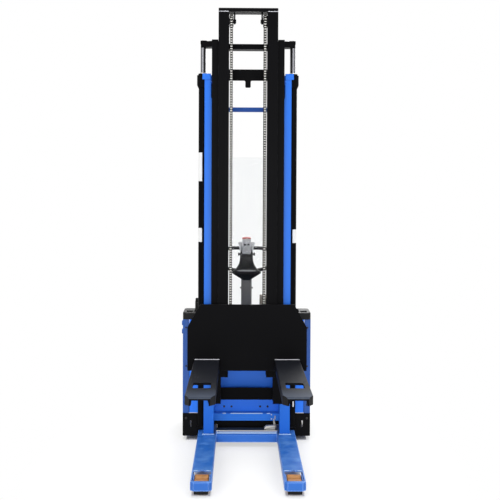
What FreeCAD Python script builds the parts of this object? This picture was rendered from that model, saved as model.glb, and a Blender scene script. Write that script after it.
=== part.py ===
import FreeCAD, Part
import os

# Electric pedestrian stacker with straddle legs and a three-stage mast, in millimetres.
# X is to the right seen from the forks, the forks point to -Y, Z is up from the floor.
# Y values in the tables are measured back from the front face of the fixed mast channels,
# and every node is moved by Y_SHIFT when it is written, so the origin is below the middle.

# How far the mast stands raised, for each of the three slides
RAISE = 163.0
RUN = 0.6            # running gap of a guide roller in its channel, each side
CLEAR = 8.0          # free gap between pieces that slide past each other
SHEET = 3.0
PLATE = 10.0
PIN_GAP = 0.05       # radial gap of an axle in its bore

# Straddle legs and their rollers
LEG_HALF = 319.5
LEG_WIDTH = 119.5
LEG_TIP_Y = -1010.0
LEG_TOP = 82.0
LEG_LOW = 33.0
LEG_WALL = 8.0
LEG_NOSE = 18.0
LEG_RIM_R = 5.0
LEG_BACK = 130.0
POCKET_L = 190.0
CROSS_RISE = 13.0    # cross member's top above the legs
LOAD_D = 76.0
LOAD_W = 78.0
LOAD_PITCH = 86.0
LOAD_PIN = 20.0

# Forks and carriage, with the forks down on the legs
FORK_HALF = 340.0
FORK_WIDTH = 163.0
FORK_LENGTH = 1150.0
FORK_RISE = 17.0
FORK_PLATE = 8.0
FORK_DEPTH = 50.0
FORK_NOSE = 70.0
FORK_NOSE_SIDE = 26.0
NOSE_BEVEL = 7.0
NOSE_BEVEL_L = 22.0
NOSE_WALL = 34.0
FORK_RIM_R = 5.0
FORK_SLOT_L = 150.0
FORK_SLOT_W = 102.0
FORK_SLOT_Y = 749.0
HEEL_T = 18.0
HEEL_DROP = 72.0
BACKREST_T = 12.0
BACKREST_HALF = 385.0
BACKREST_RISE = 357.0
BACKREST_CHAMFER = 148.0
BACKREST_CHAMFER_X = 81.0

# Mast channels: rolled sections nested one in the other
SECTION = 105.0
FLANGE_T = 14.0
WEB_T = 12.0
ROOT_R = 6.0
LIP_R = 4.0
WEB_GAP = 5.0
STEP = 22.0
OUTER_HALF = 282.0
OUTER_FLANGE = 66.0
OUTER_LENGTH = 2352.0
MID_HALF = 235.0
MID_FLANGE = 64.5
MID_DOWN = 41.0      # mid channels' foot above the legs when down
MID_STAND = 41.0     # mid channels' top above the cylinder heads when down
INNER_HALF = 192.0
INNER_FLANGE = 68.0
INNER_DOWN = 57.0
INNER_STAND = 37.0   # inner stage's top above the mid channels when down
TOP_PLATE_T = 23.0
ROLLER_INSET = 48.0
ROLLER_W = 24.0
ROLLER_PIN = 30.0
ROLLER_BEVEL = 5.0
TIE_T = 14.0
LOW_TIE_TOP = 192.0
LOW_TIE_DEPTH = 65.0
ARM_T = 39.0
YOKE_T = 34.0
YOKE_DROP = 15.0
YOKE_REAR = 36.0
YOKE_OUT = 17.0

# Lift cylinders, chains and pulleys
BARREL_D = 60.0
BARREL_WALL = 8.0
BARREL_FOOT = 18.0
HEAD_D = 82.0
HEAD_L = 86.0
HEAD_TAPER = 12.0
HEAD_STAND = 13.0    # cylinder head's top above the fixed channels
ROD_D = 36.0
ROD_LENGTH = 1960.0
CHAIN_W = 20.0
CHAIN_T = 15.0
CHAIN_SEAT = 33.0
CHAIN_PITCH = 15.875
CHAIN_WAIST = 4.0
CHAIN_END = 148.0    # lower end of the front run above the forks
PULLEY_D = 78.0
PULLEY_W = 26.0
PULLEY_DROP = 79.0
HANGER_R = 19.0

# Chassis and hood
BODY_HALF = 430.0
BODY_FRONT = 180.0
BAY_BACK = 400.0
BODY_BACK = 730.0
BUMPER_T = 18.0
SKIRT_LOW = 25.0
SKIRT_TOP = 178.0
SKIRT_WALL = 5.0
FLOOR_Z = 190.0
DECK_Z = 290.0
FRAME_LOW = 150.0
FRAME_TOP = 330.0
HOOD_WALL = 6.0
CAP_LOW = 811.0
CAP_H = 46.0
REAR_HOOD_TOP = 735.0
REAR_HOOD_SLOPE = 185.0
HOLDER_W = 170.0
HOLDER_L = 70.0
HOLDER_H = 83.0
HOLDER_SLOPE = 22.0
METER_W = 173.0
METER_L = 80.0
METER_H = 111.0
BEAD_X = 150.0
LOUVRES = 6
LOUVRE_PITCH = 24.0
LOUVRE_L = 120.0

# Drive, steering and tiller
DRIVE_Y = 605.0
DRIVE_D = 230.0
DRIVE_W = 70.0
DRIVE_AXLE = 40.0
DECK_HOLE = 182.0
TILLER_Y = 655.0
TILLER_Z = 800.0
TILLER_HALF = 38.0
TILLER_PIN = 16.0
ARM_DEPTH = 34.0
ARM_LENGTH = 310.0
GRIP_D = 32.0
LUG_R = 26.0
GEARBOX_T = 39.0
CASTER_INSET = 122.0
CASTER_Y = 560.0
CASTER_D = 125.0
CASTER_W = 30.0
CASTER_TRAIL = 38.0
CASTER_STEM = 30.0
CASTER_AXLE = 16.0

# Places that follow from the sizes
CROSS_TOP = LEG_TOP + CROSS_RISE
FORK_HEEL_Z = LEG_TOP + CLEAR + FORK_PLATE + 3 * RAISE
BACKREST_LOW = FORK_HEEL_Z - HEEL_DROP
BACKREST_TOP = FORK_HEEL_Z + BACKREST_RISE
OUTER_LOW = LEG_TOP
OUTER_TOP = OUTER_LOW + OUTER_LENGTH
CYL_X = OUTER_HALF + 14
BARREL_LOW = LEG_TOP + BARREL_FOOT
HEAD_TOP = OUTER_TOP + HEAD_STAND
HEAD_LOW = HEAD_TOP - HEAD_L
MID_LOW = LEG_TOP + MID_DOWN + RAISE
MID_TOP = HEAD_TOP + MID_STAND + RAISE
INNER_LOW = LEG_TOP + INNER_DOWN + 2 * RAISE
INNER_TOP = MID_TOP + INNER_STAND + RAISE
PULLEY_Z = INNER_TOP - PULLEY_DROP
CHAIN_X = INNER_HALF - INNER_FLANGE - 15
CHAIN_LOW = FORK_HEEL_Z + CHAIN_END
CAP_TOP = CAP_LOW + CAP_H
PANEL_SEAM = BODY_HALF - 43
SIDE_PLATE_X = BODY_HALF - 25
REAR_HOOD_HALF = BODY_HALF - 18
SKIRT_INNER = LEG_HALF - 26.5
CASTER_X = BODY_HALF - CASTER_INSET
CASTER_TOP = CASTER_D + 75
MOTOR_TOP = DECK_Z + 230
FORK_HEEL_Y = -2 * STEP - 28 - BACKREST_T - HEEL_T
TIP_Y = FORK_HEEL_Y - FORK_LENGTH
REAR_Y = BODY_BACK + BUMPER_T
Y_SHIFT = -(TIP_Y + REAR_Y) / 2

V = FreeCAD.Vector


def box(x0, x1, y0, y1, z0, z1):
    return Part.makeBox(x1 - x0, y1 - y0, z1 - z0, V(x0, y0, z0))


def rod(x, y, z, radius, length, axis):
    return Part.makeCylinder(radius, length, V(x, y, z), axis)


def rod_x(x0, x1, y, z, d):
    return rod(min(x0, x1), y, z, d / 2, abs(x1 - x0), V(1, 0, 0))


def rod_z(x, y, z0, z1, d):
    return rod(x, y, z0, d / 2, z1 - z0, V(0, 0, 1))


def prism_x(points, x0, x1):
    """Outline in Y and Z, pushed along X."""
    wire = Part.makePolygon([V(x0, y, z) for y, z in points + points[:1]])
    return Part.Face(wire).extrude(V(x1 - x0, 0, 0))


def prism_y(points, y0, y1):
    """Outline in X and Z, pushed along Y."""
    wire = Part.makePolygon([V(x, y0, z) for x, z in points + points[:1]])
    return Part.Face(wire).extrude(V(0, y1 - y0, 0))


def prism_z(points, z0, z1):
    """Outline in X and Y, pushed up."""
    wire = Part.makePolygon([V(x, y, z0) for x, y in points + points[:1]])
    return Part.Face(wire).extrude(V(0, 0, z1 - z0))


def fuse(first, *others):
    shape = first
    for other in others:
        shape = shape.fuse(other)
    return shape.removeSplitter()


def cut(shape, *tools):
    for tool in tools:
        shape = shape.cut(tool)
    return shape


def other_side(shape):
    return shape.mirror(V(0, 0, 0), V(1, 0, 0))


def both(shape):
    """The piece and its mirror image, as two solids."""
    return Part.makeCompound([shape, other_side(shape)])


def near(value, places):
    return any(abs(value - place) < 0.01 for place in places)


def turned(profile, place, axis):
    """Turned piece about an axis. Rows of the profile are (distance along it, radius)."""
    side = V(1, 0, 0) if abs(axis.z) > 0.5 else V(0, 0, 1)
    points = [place + axis * along + side * radius for along, radius in profile]
    wire = Part.makePolygon(points + points[:1])
    return Part.Face(wire).revolve(place, axis, 360)


def tyre(x, y, z, diameter, width, bore, bevel):
    """Wheel across X with bevelled edges and a plain bore."""
    outer = diameter / 2
    half = width / 2
    profile = [(-half, bore / 2), (-half, outer - bevel), (-half + bevel, outer),
               (half - bevel, outer), (half, outer - bevel), (half, bore / 2)]
    return turned(profile, V(x, y, z), V(1, 0, 0))


def bevelled(shape, size, place):
    """Chamfers the edges whose middle passes a test."""
    return shape.makeChamfer(size, [e for e in shape.Edges if place(e.CenterOfMass)])


def mirrored(points):
    """Closed outline from its right half, top to bottom or bottom to top."""
    return list(points) + [(-x, z) for x, z in reversed(points)]


def edges_along(shape, direction, place):
    """Straight edges along a direction whose middle passes a test."""
    found = []
    for edge in shape.Edges:
        if edge.Curve.TypeId != "Part::GeomLine":
            continue
        along = edge.tangentAt(edge.FirstParameter)
        if abs(abs(along.dot(direction)) - 1) < 1e-6 and place(edge.CenterOfMass):
            found.append(edge)
    return found


# Mast stages

def stage_front(index):
    """Front face of a stage's channels: 0 outer, 1 mid, 2 inner."""
    return -index * STEP


def roller_y(index):
    """Middle of a stage's depth, where the rollers that run in it turn."""
    return stage_front(index) + SECTION / 2


def channel(half, flange, web_out, index, low, top):
    """Rolled section on the +X side: two flanges and a web, with rounded roots and lips."""
    front = stage_front(index)
    back = front + SECTION
    flats = (front + FLANGE_T, back - FLANGE_T)
    webs = (web_out - WEB_T, web_out)
    shape = fuse(box(half - flange, half, front, front + FLANGE_T, low, top),
                 box(half - flange, half, back - FLANGE_T, back, low, top),
                 box(web_out - WEB_T, web_out, front, back, low, top))
    up = V(0, 0, 1)
    roots = edges_along(shape, up, lambda p: near(p.x, webs) and near(p.y, flats))
    shape = shape.makeFillet(ROOT_R, roots)
    lips = edges_along(shape, up, lambda p: near(p.x, (half - flange,)) and near(p.y, flats))
    return shape.makeFillet(LIP_R, lips)


OUTER_TIP = OUTER_HALF - OUTER_FLANGE
MID_WEB = OUTER_TIP - WEB_GAP
MID_TIP = MID_HALF - MID_FLANGE
INNER_WEB = MID_TIP - WEB_GAP
INNER_TIP = INNER_HALF - INNER_FLANGE
GUIDE_D = SECTION - 2 * FLANGE_T - 2 * RUN


def guide_roller(x0, x1, x_web, index, z):
    """Roller on a stub pin from x_web, bevelled where it runs past a channel's root."""
    near_face, far_face = sorted((abs(x0 - x_web), abs(x1 - x_web)))
    toward = 1 if x0 > x_web else -1
    radius = GUIDE_D / 2
    pin = ROLLER_PIN / 2
    profile = [(0, 0), (0, pin), (near_face, pin), (near_face, radius),
               (far_face - ROLLER_BEVEL, radius), (far_face, radius - ROLLER_BEVEL),
               (far_face, 0)]
    return turned(profile, V(x_web, roller_y(index), z), V(toward, 0, 0))


def outer_channels():
    shape = channel(OUTER_HALF, OUTER_FLANGE, OUTER_HALF, 0, OUTER_LOW, OUTER_TOP)
    roller_z = OUTER_TOP - ROLLER_INSET - 12
    notch_low = roller_z - GUIDE_D / 2 - 60
    roller_out = MID_WEB + RUN * 4 + ROLLER_W - 4
    notch = box(OUTER_TIP - 1, roller_out + CLEAR, -1, FLANGE_T + 1, notch_low, OUTER_TOP + 1)
    cap = box(MID_HALF + CLEAR, OUTER_HALF + 14, -3, 0, OUTER_TOP - 38, OUTER_TOP)
    roller = guide_roller(MID_WEB + RUN * 4, roller_out, OUTER_HALF - WEB_T, 1, roller_z)
    foot = box(OUTER_TIP, OUTER_TIP + WEB_T, SECTION, BODY_FRONT - SHEET, LOW_TIE_TOP, 420)
    return both(fuse(cut(shape, notch), cap, roller, foot))


def outer_ties():
    """Cross pieces behind the fixed channels, between the two lift cylinders."""
    rows = (  # depth, low end, top
        (TIE_T, OUTER_TOP - 239, OUTER_TOP - 209),
        (TIE_T, OUTER_LOW + 518, OUTER_LOW + 578),
        (LOW_TIE_DEPTH, LOW_TIE_TOP - 47, LOW_TIE_TOP),
    )
    half = CYL_X - BARREL_D / 2 - 4
    pieces = [box(-half, half, SECTION, SECTION + depth, low, high) for depth, low, high in rows]
    for x in (-120, 120):
        slot = box(x - 22, x + 22, SECTION + LOW_TIE_DEPTH - 12, SECTION + LOW_TIE_DEPTH + 1,
                   LOW_TIE_TOP - 50, LOW_TIE_TOP + 1)
        pieces[-1] = cut(pieces[-1], slot)
    return Part.makeCompound(pieces)


def mid_channels():
    shape = channel(MID_HALF, MID_FLANGE, MID_WEB, 1, MID_LOW, MID_TOP)
    low_roller = guide_roller(MID_HALF + 4, OUTER_HALF - WEB_T - 3, MID_WEB, 0,
                              MID_LOW + ROLLER_INSET)
    top_z = MID_TOP - ROLLER_INSET - 12
    top_in = INNER_WEB + 3
    top_out = INNER_HALF - 2
    notch = box(MID_TIP - 1, top_out + CLEAR / 2, stage_front(1) - 1,
                stage_front(1) + FLANGE_T + 1, top_z - GUIDE_D / 2 - 12, MID_TOP + 1)
    top_roller = guide_roller(top_in, top_out, MID_WEB - WEB_T, 2, top_z)
    return both(fuse(cut(shape, notch), low_roller, top_roller))


def arm_z():
    """Underside of the arms on the mid stage, where the lift rods push."""
    return MID_TOP - 32


def mid_ties():
    back = stage_front(1) + SECTION
    inside = OUTER_TIP - 11
    rear = back + TIE_T
    head_z = arm_z()
    head_top = head_z + ARM_T
    cyl_y = cylinder_y()
    yoke_rear = cyl_y + YOKE_REAR
    yoke_out = CYL_X + YOKE_OUT
    yoke = box(-inside, inside, back, yoke_rear, head_z - YOKE_DROP, head_z - YOKE_DROP + YOKE_T)
    arm = prism_z([(MID_TIP, back), (MID_HALF, back), (yoke_out, cyl_y - 20),
                   (yoke_out, yoke_rear), (MID_TIP, yoke_rear)], head_z, head_top)
    arm = arm.makeFillet(14, edges_along(arm, V(0, 0, 1), lambda p: p.x > CYL_X))
    head = fuse(yoke, arm, other_side(arm))
    low = MID_TOP - 252
    high = low + 73
    tab = low - 46
    outline = mirrored([(18, tab), (18, low), (inside, low), (inside, high)])
    plate = prism_y(outline, back, rear)
    corners = edges_along(plate, V(0, 1, 0), lambda p: near(abs(p.x), (18,)))
    plate = plate.makeFillet(8, corners)
    chain_y = roller_y(2) + CHAIN_SEAT + 0.3 + CHAIN_T
    anchor = box(CHAIN_X - 9, CHAIN_X + 9, chain_y + WEB_GAP, back, low + 6, low + 46)
    plate = fuse(plate, anchor, other_side(anchor))
    low_bar = box(-inside, inside, back, rear, MID_LOW + 4, MID_LOW + 84)
    low_bar = low_bar.makeFillet(5, edges_along(low_bar, V(1, 0, 0), lambda p: p.y > back + 1))
    return Part.makeCompound([head, plate, low_bar])


def inner_channels():
    shape = channel(INNER_HALF, INNER_FLANGE, INNER_WEB, 2, INNER_LOW, INNER_TOP - TOP_PLATE_T)
    z = INNER_LOW + ROLLER_INSET
    back = stage_front(2) + SECTION
    x_in = INNER_WEB + 3
    x_out = MID_WEB - WEB_T - 3
    notch = box(INNER_WEB, INNER_HALF + 1, back - FLANGE_T - 1, back + 1,
                INNER_LOW - 1, z + GUIDE_D / 2 + CLEAR)
    roller = guide_roller(x_in, x_out, INNER_WEB, 1, z)
    return both(fuse(cut(shape, notch), roller))


def inner_ties():
    """Top plate with the pulleys' hangers below it, and the tie at the stage's foot."""
    front = stage_front(2)
    back = front + SECTION
    inside = MID_TIP - 12
    seat = INNER_TOP - TOP_PLATE_T
    top = box(-INNER_HALF, INNER_HALF, front, back, seat, INNER_TOP)
    top = bevelled(top, 3, lambda p: near(p.z, (INNER_TOP,)))
    lip = box(-inside, inside, back, back + TIE_T, seat, INNER_TOP - 3)
    hanger_x = CHAIN_X - PULLEY_W / 2 - 2
    y = roller_y(2)
    hanger = fuse(box(hanger_x - 10, hanger_x, y - HANGER_R, y + HANGER_R, PULLEY_Z, seat),
                  rod_x(hanger_x - 10, hanger_x, y, PULLEY_Z, 2 * HANGER_R),
                  rod_x(hanger_x - 15, hanger_x - 10, y, PULLEY_Z, 26))
    low = box(-inside, inside, back, back + TIE_T, INNER_LOW + 95, INNER_LOW + 175)
    return Part.makeCompound([fuse(top, lip, hanger, other_side(hanger)), low])


def cylinder_y():
    return SECTION + 4 + BARREL_D / 2


def cylinder_barrels():
    """Tube with a stepped gland head, flat towards the mast, on a foot plate."""
    y = cylinder_y()
    barrel_r = BARREL_D / 2
    head_r = HEAD_D / 2
    profile = [(BARREL_LOW, 0), (BARREL_LOW, barrel_r), (HEAD_LOW - HEAD_TAPER, barrel_r),
               (HEAD_LOW, barrel_r + 6), (HEAD_LOW + HEAD_TAPER, head_r),
               (HEAD_TOP - 10, head_r), (HEAD_TOP - 10, barrel_r + 3), (HEAD_TOP, barrel_r + 3),
               (HEAD_TOP, 0)]
    barrel = turned(profile, V(CYL_X, y, 0), V(0, 0, 1))
    barrel = cut(barrel, box(CYL_X - HEAD_D, CYL_X + HEAD_D, SECTION - HEAD_D, SECTION,
                             HEAD_LOW - 2 * HEAD_TAPER, HEAD_TOP + 1))
    bore = rod_z(CYL_X, y, BARREL_LOW + 20, HEAD_TOP - 60, BARREL_D - 2 * BARREL_WALL)
    gland = rod_z(CYL_X, y, HEAD_TOP - 61, HEAD_TOP + 1, ROD_D + 1)
    port = rod(CYL_X - barrel_r + 4, y, LOW_TIE_TOP + 28, 11, 14, V(-1, 0, 0))
    base = box(CYL_X - 34, CYL_X + 34, SECTION, y + barrel_r + 2, LEG_TOP, BARREL_LOW)
    base = base.makeFillet(12, edges_along(base, V(0, 0, 1), lambda p: p.y > y))
    return both(cut(fuse(barrel, port, base), bore, gland))


def lift_rods():
    y = cylinder_y()
    top = arm_z()
    shape = rod_z(CYL_X, y, top - ROD_LENGTH, top, ROD_D)
    cap = rod_z(CYL_X, y, top + ARM_T, top + ARM_T + 6, ROD_D)
    return Part.makeCompound([s for piece in (shape, cap) for s in both(piece).Solids])


def chain_pulleys():
    """Grooved pulleys, each on its pin between the hanger and the channel's web."""
    half = PULLEY_W / 2
    groove = CHAIN_W / 2 + 0.5
    rim = PULLEY_D / 2
    pin = 12.5
    web = INNER_WEB - WEB_T - CHAIN_X
    profile = [(-half - 2, 0), (-half - 2, pin), (-half, pin), (-half, rim - 2), (-half + 1, rim),
               (-groove, rim), (-groove, CHAIN_SEAT), (groove, CHAIN_SEAT), (groove, rim),
               (half, rim), (half, pin + 6), (half + 10, pin + 6), (half + 10, pin),
               (web, pin), (web, 0)]
    return both(turned(profile, V(CHAIN_X, roller_y(2), PULLEY_Z), V(1, 0, 0)))


def lift_chains():
    """Chain with its link waists on the front run, a plain back run and the pulley's turn."""
    y = roller_y(2)
    radius_in = CHAIN_SEAT + 0.3
    radius_out = radius_in + CHAIN_T
    x0 = CHAIN_X - CHAIN_W / 2
    x1 = CHAIN_X + CHAIN_W / 2
    turn = cut(rod_x(x0, x1, y, PULLEY_Z, 2 * radius_out),
               rod_x(x0 - 1, x1 + 1, y, PULLEY_Z, 2 * radius_in),
               box(x0 - 1, x1 + 1, y - 2 * radius_out, y + 2 * radius_out,
                   PULLEY_Z - 2 * radius_out, PULLEY_Z))
    links = int((PULLEY_Z - CHAIN_LOW) / CHAIN_PITCH)
    outline = [(y - radius_in, PULLEY_Z), (y - radius_in, CHAIN_LOW), (y - radius_out, CHAIN_LOW)]
    for link in range(1, links):
        z = CHAIN_LOW + link * CHAIN_PITCH
        outline += [(y - radius_out + CHAIN_WAIST, z - CHAIN_PITCH / 2), (y - radius_out, z)]
    outline.append((y - radius_out, PULLEY_Z))
    front = prism_x(outline, x0, x1)
    back = box(x0, x1, y + radius_in, y + radius_out, CHAIN_LOW + 110, PULLEY_Z)
    return both(fuse(turn, front, back))


# Carriage and forks

CARRIAGE_Y = -2 * STEP - 28


def backrest_plate():
    half = BACKREST_HALF
    outline = mirrored([(half - BACKREST_CHAMFER_X, BACKREST_TOP),
                        (half, BACKREST_TOP - BACKREST_CHAMFER), (half, BACKREST_LOW)])
    front = CARRIAGE_Y - BACKREST_T
    plate = prism_y(outline, front, CARRIAGE_Y)
    bends = edges_along(plate, V(0, 1, 0), lambda p: p.z > BACKREST_LOW + 1)
    plate = plate.makeFillet(10, bends)
    notch = box(FORK_HALF - FORK_WIDTH - 1, FORK_HALF + 1, front - 1, CARRIAGE_Y + 1,
                BACKREST_LOW - 1, FORK_HEEL_Z)
    return cut(plate, notch, other_side(notch))


def carriage_frame():
    """Two side plates with roller pins, joined by cross bars behind the backrest."""
    x1 = CHAIN_X - PULLEY_W / 2 - 2
    x0 = x1 - 14
    low = FORK_HEEL_Z - CLEAR + 1
    rear = roller_y(2) + 22
    foot = FORK_HEEL_Z + 53
    head = BACKREST_TOP - 9
    plate = prism_x([(CARRIAGE_Y, foot), (CARRIAGE_Y, head), (rear - 34, head), (rear, head - 34),
                     (rear, foot + 20), (rear - 20, foot)], x0, x1)
    window = prism_x([(CARRIAGE_Y + 16, foot + 100), (rear - 14, foot + 100),
                      (rear - 14, head - 96), (CARRIAGE_Y + 16, head - 96)], x0 - 1, x1 + 1)
    window = window.makeFillet(14, edges_along(window, V(1, 0, 0), lambda p: True))
    plate = cut(plate, window)
    bars = []
    for half, z in ((FORK_HALF - 5, low), (INNER_HALF + 60, BACKREST_TOP - 114)):
        bar = box(-half, half, CARRIAGE_Y, CARRIAGE_Y + TIE_T, z, z + 70)
        bars.append(bar.makeChamfer(4, edges_along(bar, V(1, 0, 0),
                                                   lambda p: p.y > CARRIAGE_Y + 1)))
    return fuse(plate, other_side(plate), *bars)


def carriage_rollers():
    x1 = CHAIN_X - PULLEY_W / 2 - 2
    rollers = []
    for z in (FORK_HEEL_Z + 103, BACKREST_TOP - 54):
        roller = guide_roller(INNER_TIP + 1, INNER_TIP + 1 + ROLLER_W, x1, 2, z)
        rollers += both(roller).Solids
    return Part.makeCompound(rollers)


def fork():
    """Pressed fork on the +X side: a channel open below, with a slot and a bevelled nose."""
    x1 = FORK_HALF
    x0 = x1 - FORK_WIDTH
    heel = CARRIAGE_Y
    top = FORK_HEEL_Z
    tip_top = top + FORK_RISE
    side = [(heel, top), (FORK_HEEL_Y, top), (TIP_Y + NOSE_BEVEL_L, tip_top),
            (TIP_Y, tip_top - NOSE_BEVEL), (TIP_Y, tip_top - FORK_DEPTH + NOSE_BEVEL),
            (TIP_Y + 60, tip_top - FORK_DEPTH), (FORK_HEEL_Y, top - FORK_DEPTH),
            (heel, top - FORK_DEPTH)]
    shape = prism_x(side, x0, x1)
    rims = [e for e in shape.Edges if near(e.CenterOfMass.x, (x0, x1))
            and TIP_Y + NOSE_BEVEL_L < e.CenterOfMass.y < FORK_HEEL_Y
            and e.CenterOfMass.z > top - 1]
    shape = shape.makeFillet(FORK_RIM_R, rims)
    for x, inward in ((x0, 1), (x1, -1)):
        corner = [(x - inward, TIP_Y - 1), (x + inward * FORK_NOSE_SIDE, TIP_Y - 1),
                  (x - inward, TIP_Y + FORK_NOSE)]
        shape = cut(shape, prism_z(corner, top - 200, top + 100))
    lip = tip_top - NOSE_BEVEL - FORK_PLATE
    hollow_side = [(heel + 1, top - FORK_PLATE), (FORK_HEEL_Y, top - FORK_PLATE),
                   (TIP_Y - 1, lip), (TIP_Y - 1, top - 100), (heel + 1, top - 100)]
    hollow = prism_x(hollow_side, x0 + FORK_PLATE, x1 - FORK_PLATE)
    wall = NOSE_WALL
    nose_y = TIP_Y + FORK_NOSE + 20
    for outline in ([(x0 - 1, 0), (x0 + wall, 0), (x0 + wall, lip - wall / 2),
                     (x0 + 1.4 * wall, lip + 20), (x0 - 1, lip + 20)],
                    [(x1 + 1, 0), (x1 - wall, 0), (x1 - wall, lip - wall / 2),
                     (x1 - 1.4 * wall, lip + 20), (x1 + 1, lip + 20)]):
        hollow = cut(hollow, prism_y(outline, TIP_Y - 2, nose_y))
    middle = (x0 + x1) / 2
    slot = box(middle - FORK_SLOT_W / 2, middle + FORK_SLOT_W / 2,
               FORK_HEEL_Y - FORK_SLOT_Y - FORK_SLOT_L, FORK_HEEL_Y - FORK_SLOT_Y,
               top - 20, top + 60)
    slot = slot.makeFillet(12, edges_along(slot, V(0, 0, 1), lambda p: True))
    back = box(x0, x1, FORK_HEEL_Y, heel, top - HEEL_DROP, top)
    back = cut(back, box(x0 + FORK_PLATE, x1 - FORK_PLATE, FORK_HEEL_Y - 1, heel + 1,
                         top - HEEL_DROP - 1, top - FORK_PLATE))
    return fuse(cut(shape, hollow, slot), back)


# Chassis

def cross_member():
    """Bent plate between the legs, its front face raked back to the top."""
    half = LEG_HALF - LEG_WIDTH
    low = LEG_LOW - 2
    points = [(-10, low), (-10, LEG_TOP - 2), (6, CROSS_TOP), (30, CROSS_TOP),
              (30, CROSS_TOP - LEG_WALL), (6 + LEG_WALL / 2, CROSS_TOP - LEG_WALL),
              (LEG_WALL - 10, LEG_TOP - 6), (LEG_WALL - 10, low)]
    plate = prism_x(points, -half, half)
    bends = edges_along(plate, V(1, 0, 0), lambda p: near(p.y, (-10, 6)) and p.z > LEG_TOP - 5)
    return plate.makeFillet(5, bends)


def gap_plate():
    """Cover plate between the legs, from the cross member to the mast's rear flanges."""
    half = LEG_HALF - LEG_WIDTH
    plate = box(-half, half, 18, SECTION - FLANGE_T, CROSS_TOP, CROSS_TOP + 8)
    return bevelled(plate, 2, lambda p: near(p.z, (CROSS_TOP + 8,)))


def leg():
    """Straddle leg on the +X side: a channel open below, with the roller pocket at its tip."""
    x1 = LEG_HALF
    x0 = x1 - LEG_WIDTH
    root = 30.0
    shape = box(x0, x1, LEG_TIP_Y, LEG_BACK, LEG_LOW, LEG_TOP)
    shape = shape.makeChamfer(LEG_NOSE, edges_along(shape, V(0, 0, 1),
                                                    lambda p: p.y < LEG_TIP_Y + 5))
    rims = [e for e in shape.Edges if near(e.CenterOfMass.z, (LEG_TOP,))
            and e.CenterOfMass.y < LEG_BACK - 1]
    shape = shape.makeFillet(LEG_RIM_R, rims)
    hollow = box(x0 + LEG_WALL, x1 - LEG_WALL, LEG_TIP_Y + 26, root, LEG_LOW - 1,
                 LEG_TOP - LEG_WALL)
    pocket_back = LEG_TIP_Y + 26 + POCKET_L
    middle = (x0 + x1) / 2
    pocket = box(x0 + LEG_WALL, x1 - LEG_WALL, LEG_TIP_Y + 26, pocket_back, LEG_LOW, LEG_TOP + 1)
    notch = rod_z(middle, pocket_back, LEG_LOW, LEG_TOP + 1, 26)
    shape = cut(shape, hollow, pocket, notch)
    for y in load_ys():
        shape = cut(shape, rod_x(x0 - 1, x1 + 1, y, LOAD_D / 2, LOAD_PIN))
    return shape


def load_ys():
    first = LEG_TIP_Y + 26 + LOAD_D / 2 + 10
    return (first, first + LOAD_PITCH)


def leg_axles():
    x1 = LEG_HALF
    x0 = x1 - LEG_WIDTH
    pins = [rod_x(x0, x1, y, LOAD_D / 2, LOAD_PIN) for y in load_ys()]
    return Part.makeCompound([s for pin in pins for s in both(pin).Solids])


def load_roller(y, side):
    middle = side * (LEG_HALF - LEG_WIDTH / 2)
    return tyre(middle, y, LOAD_D / 2, LOAD_D, LOAD_W, LOAD_PIN + 2 * PIN_GAP, 3)


def base_frame():
    """Welded chassis: side plates, battery floor, drive plate and caster brackets."""
    side_x = SIDE_PLATE_X
    front = BODY_FRONT
    back = BODY_BACK - HOOD_WALL - PLATE - 2
    side = box(side_x - PLATE, side_x, front + PLATE, back - 18, FRAME_LOW, FRAME_TOP)
    front_wall = box(-side_x, side_x, front, front + PLATE, SKIRT_TOP + 2, FRAME_TOP)
    floor = box(-side_x + PLATE, side_x - PLATE, front + PLATE, BAY_BACK, FLOOR_Z,
                FLOOR_Z + PLATE)
    wall = box(-side_x + PLATE, side_x - PLATE, BAY_BACK, BAY_BACK + PLATE, FLOOR_Z,
               CAP_LOW - 31)
    deck = box(-side_x + PLATE, side_x - PLATE, BAY_BACK + PLATE, back, DECK_Z,
               DECK_Z + PLATE)
    deck = cut(deck, rod_z(0, DRIVE_Y, DECK_Z - 10, DECK_Z + 20, DECK_HOLE))
    rear = box(-side_x + 25, side_x - 25, back, back + PLATE, DECK_Z, FRAME_TOP)
    foot = box(LEG_HALF - LEG_WIDTH, LEG_HALF, LEG_BACK, front + 80, LEG_LOW, LEG_TOP)
    web_x = LEG_HALF - LEG_WIDTH / 2
    web = box(web_x - PLATE / 2, web_x + PLATE / 2, front, front + 80, LEG_TOP, FLOOR_Z)
    shape = fuse(side, other_side(side), front_wall, floor, wall, deck, rear)
    shape = fuse(shape, foot, other_side(foot), web, other_side(web))
    bore = CASTER_STEM + 2 * PIN_GAP
    for side in (-1, 1):
        x, y = caster_axis(side)
        holder = fuse(box(x - 55, x + 55, y - 60, y + 60, CASTER_TOP, CASTER_TOP + 12),
                      rod_z(x, y, CASTER_TOP - 36, DECK_Z, 2 * CASTER_STEM))
        shape = fuse(shape, cut(holder, rod_z(x, y, FRAME_LOW, DECK_Z, bore)))
    return shape


def front_bulkhead():
    """Sheet behind the mast, with a pressed bead at each side and a folded foot."""
    half = PANEL_SEAM - 2
    sheet = box(-half, half, BODY_FRONT - SHEET, BODY_FRONT, SKIRT_TOP, CAP_LOW)
    beads = []
    for x in (-BEAD_X, BEAD_X):
        bead = prism_z([(x - 14, BODY_FRONT - SHEET), (x - 8, BODY_FRONT - 2 * SHEET),
                        (x + 8, BODY_FRONT - 2 * SHEET), (x + 14, BODY_FRONT - SHEET)],
                       CAP_LOW - 360, CAP_LOW - 60)
        beads.append(bead)
    return fuse(sheet, *beads)


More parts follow.
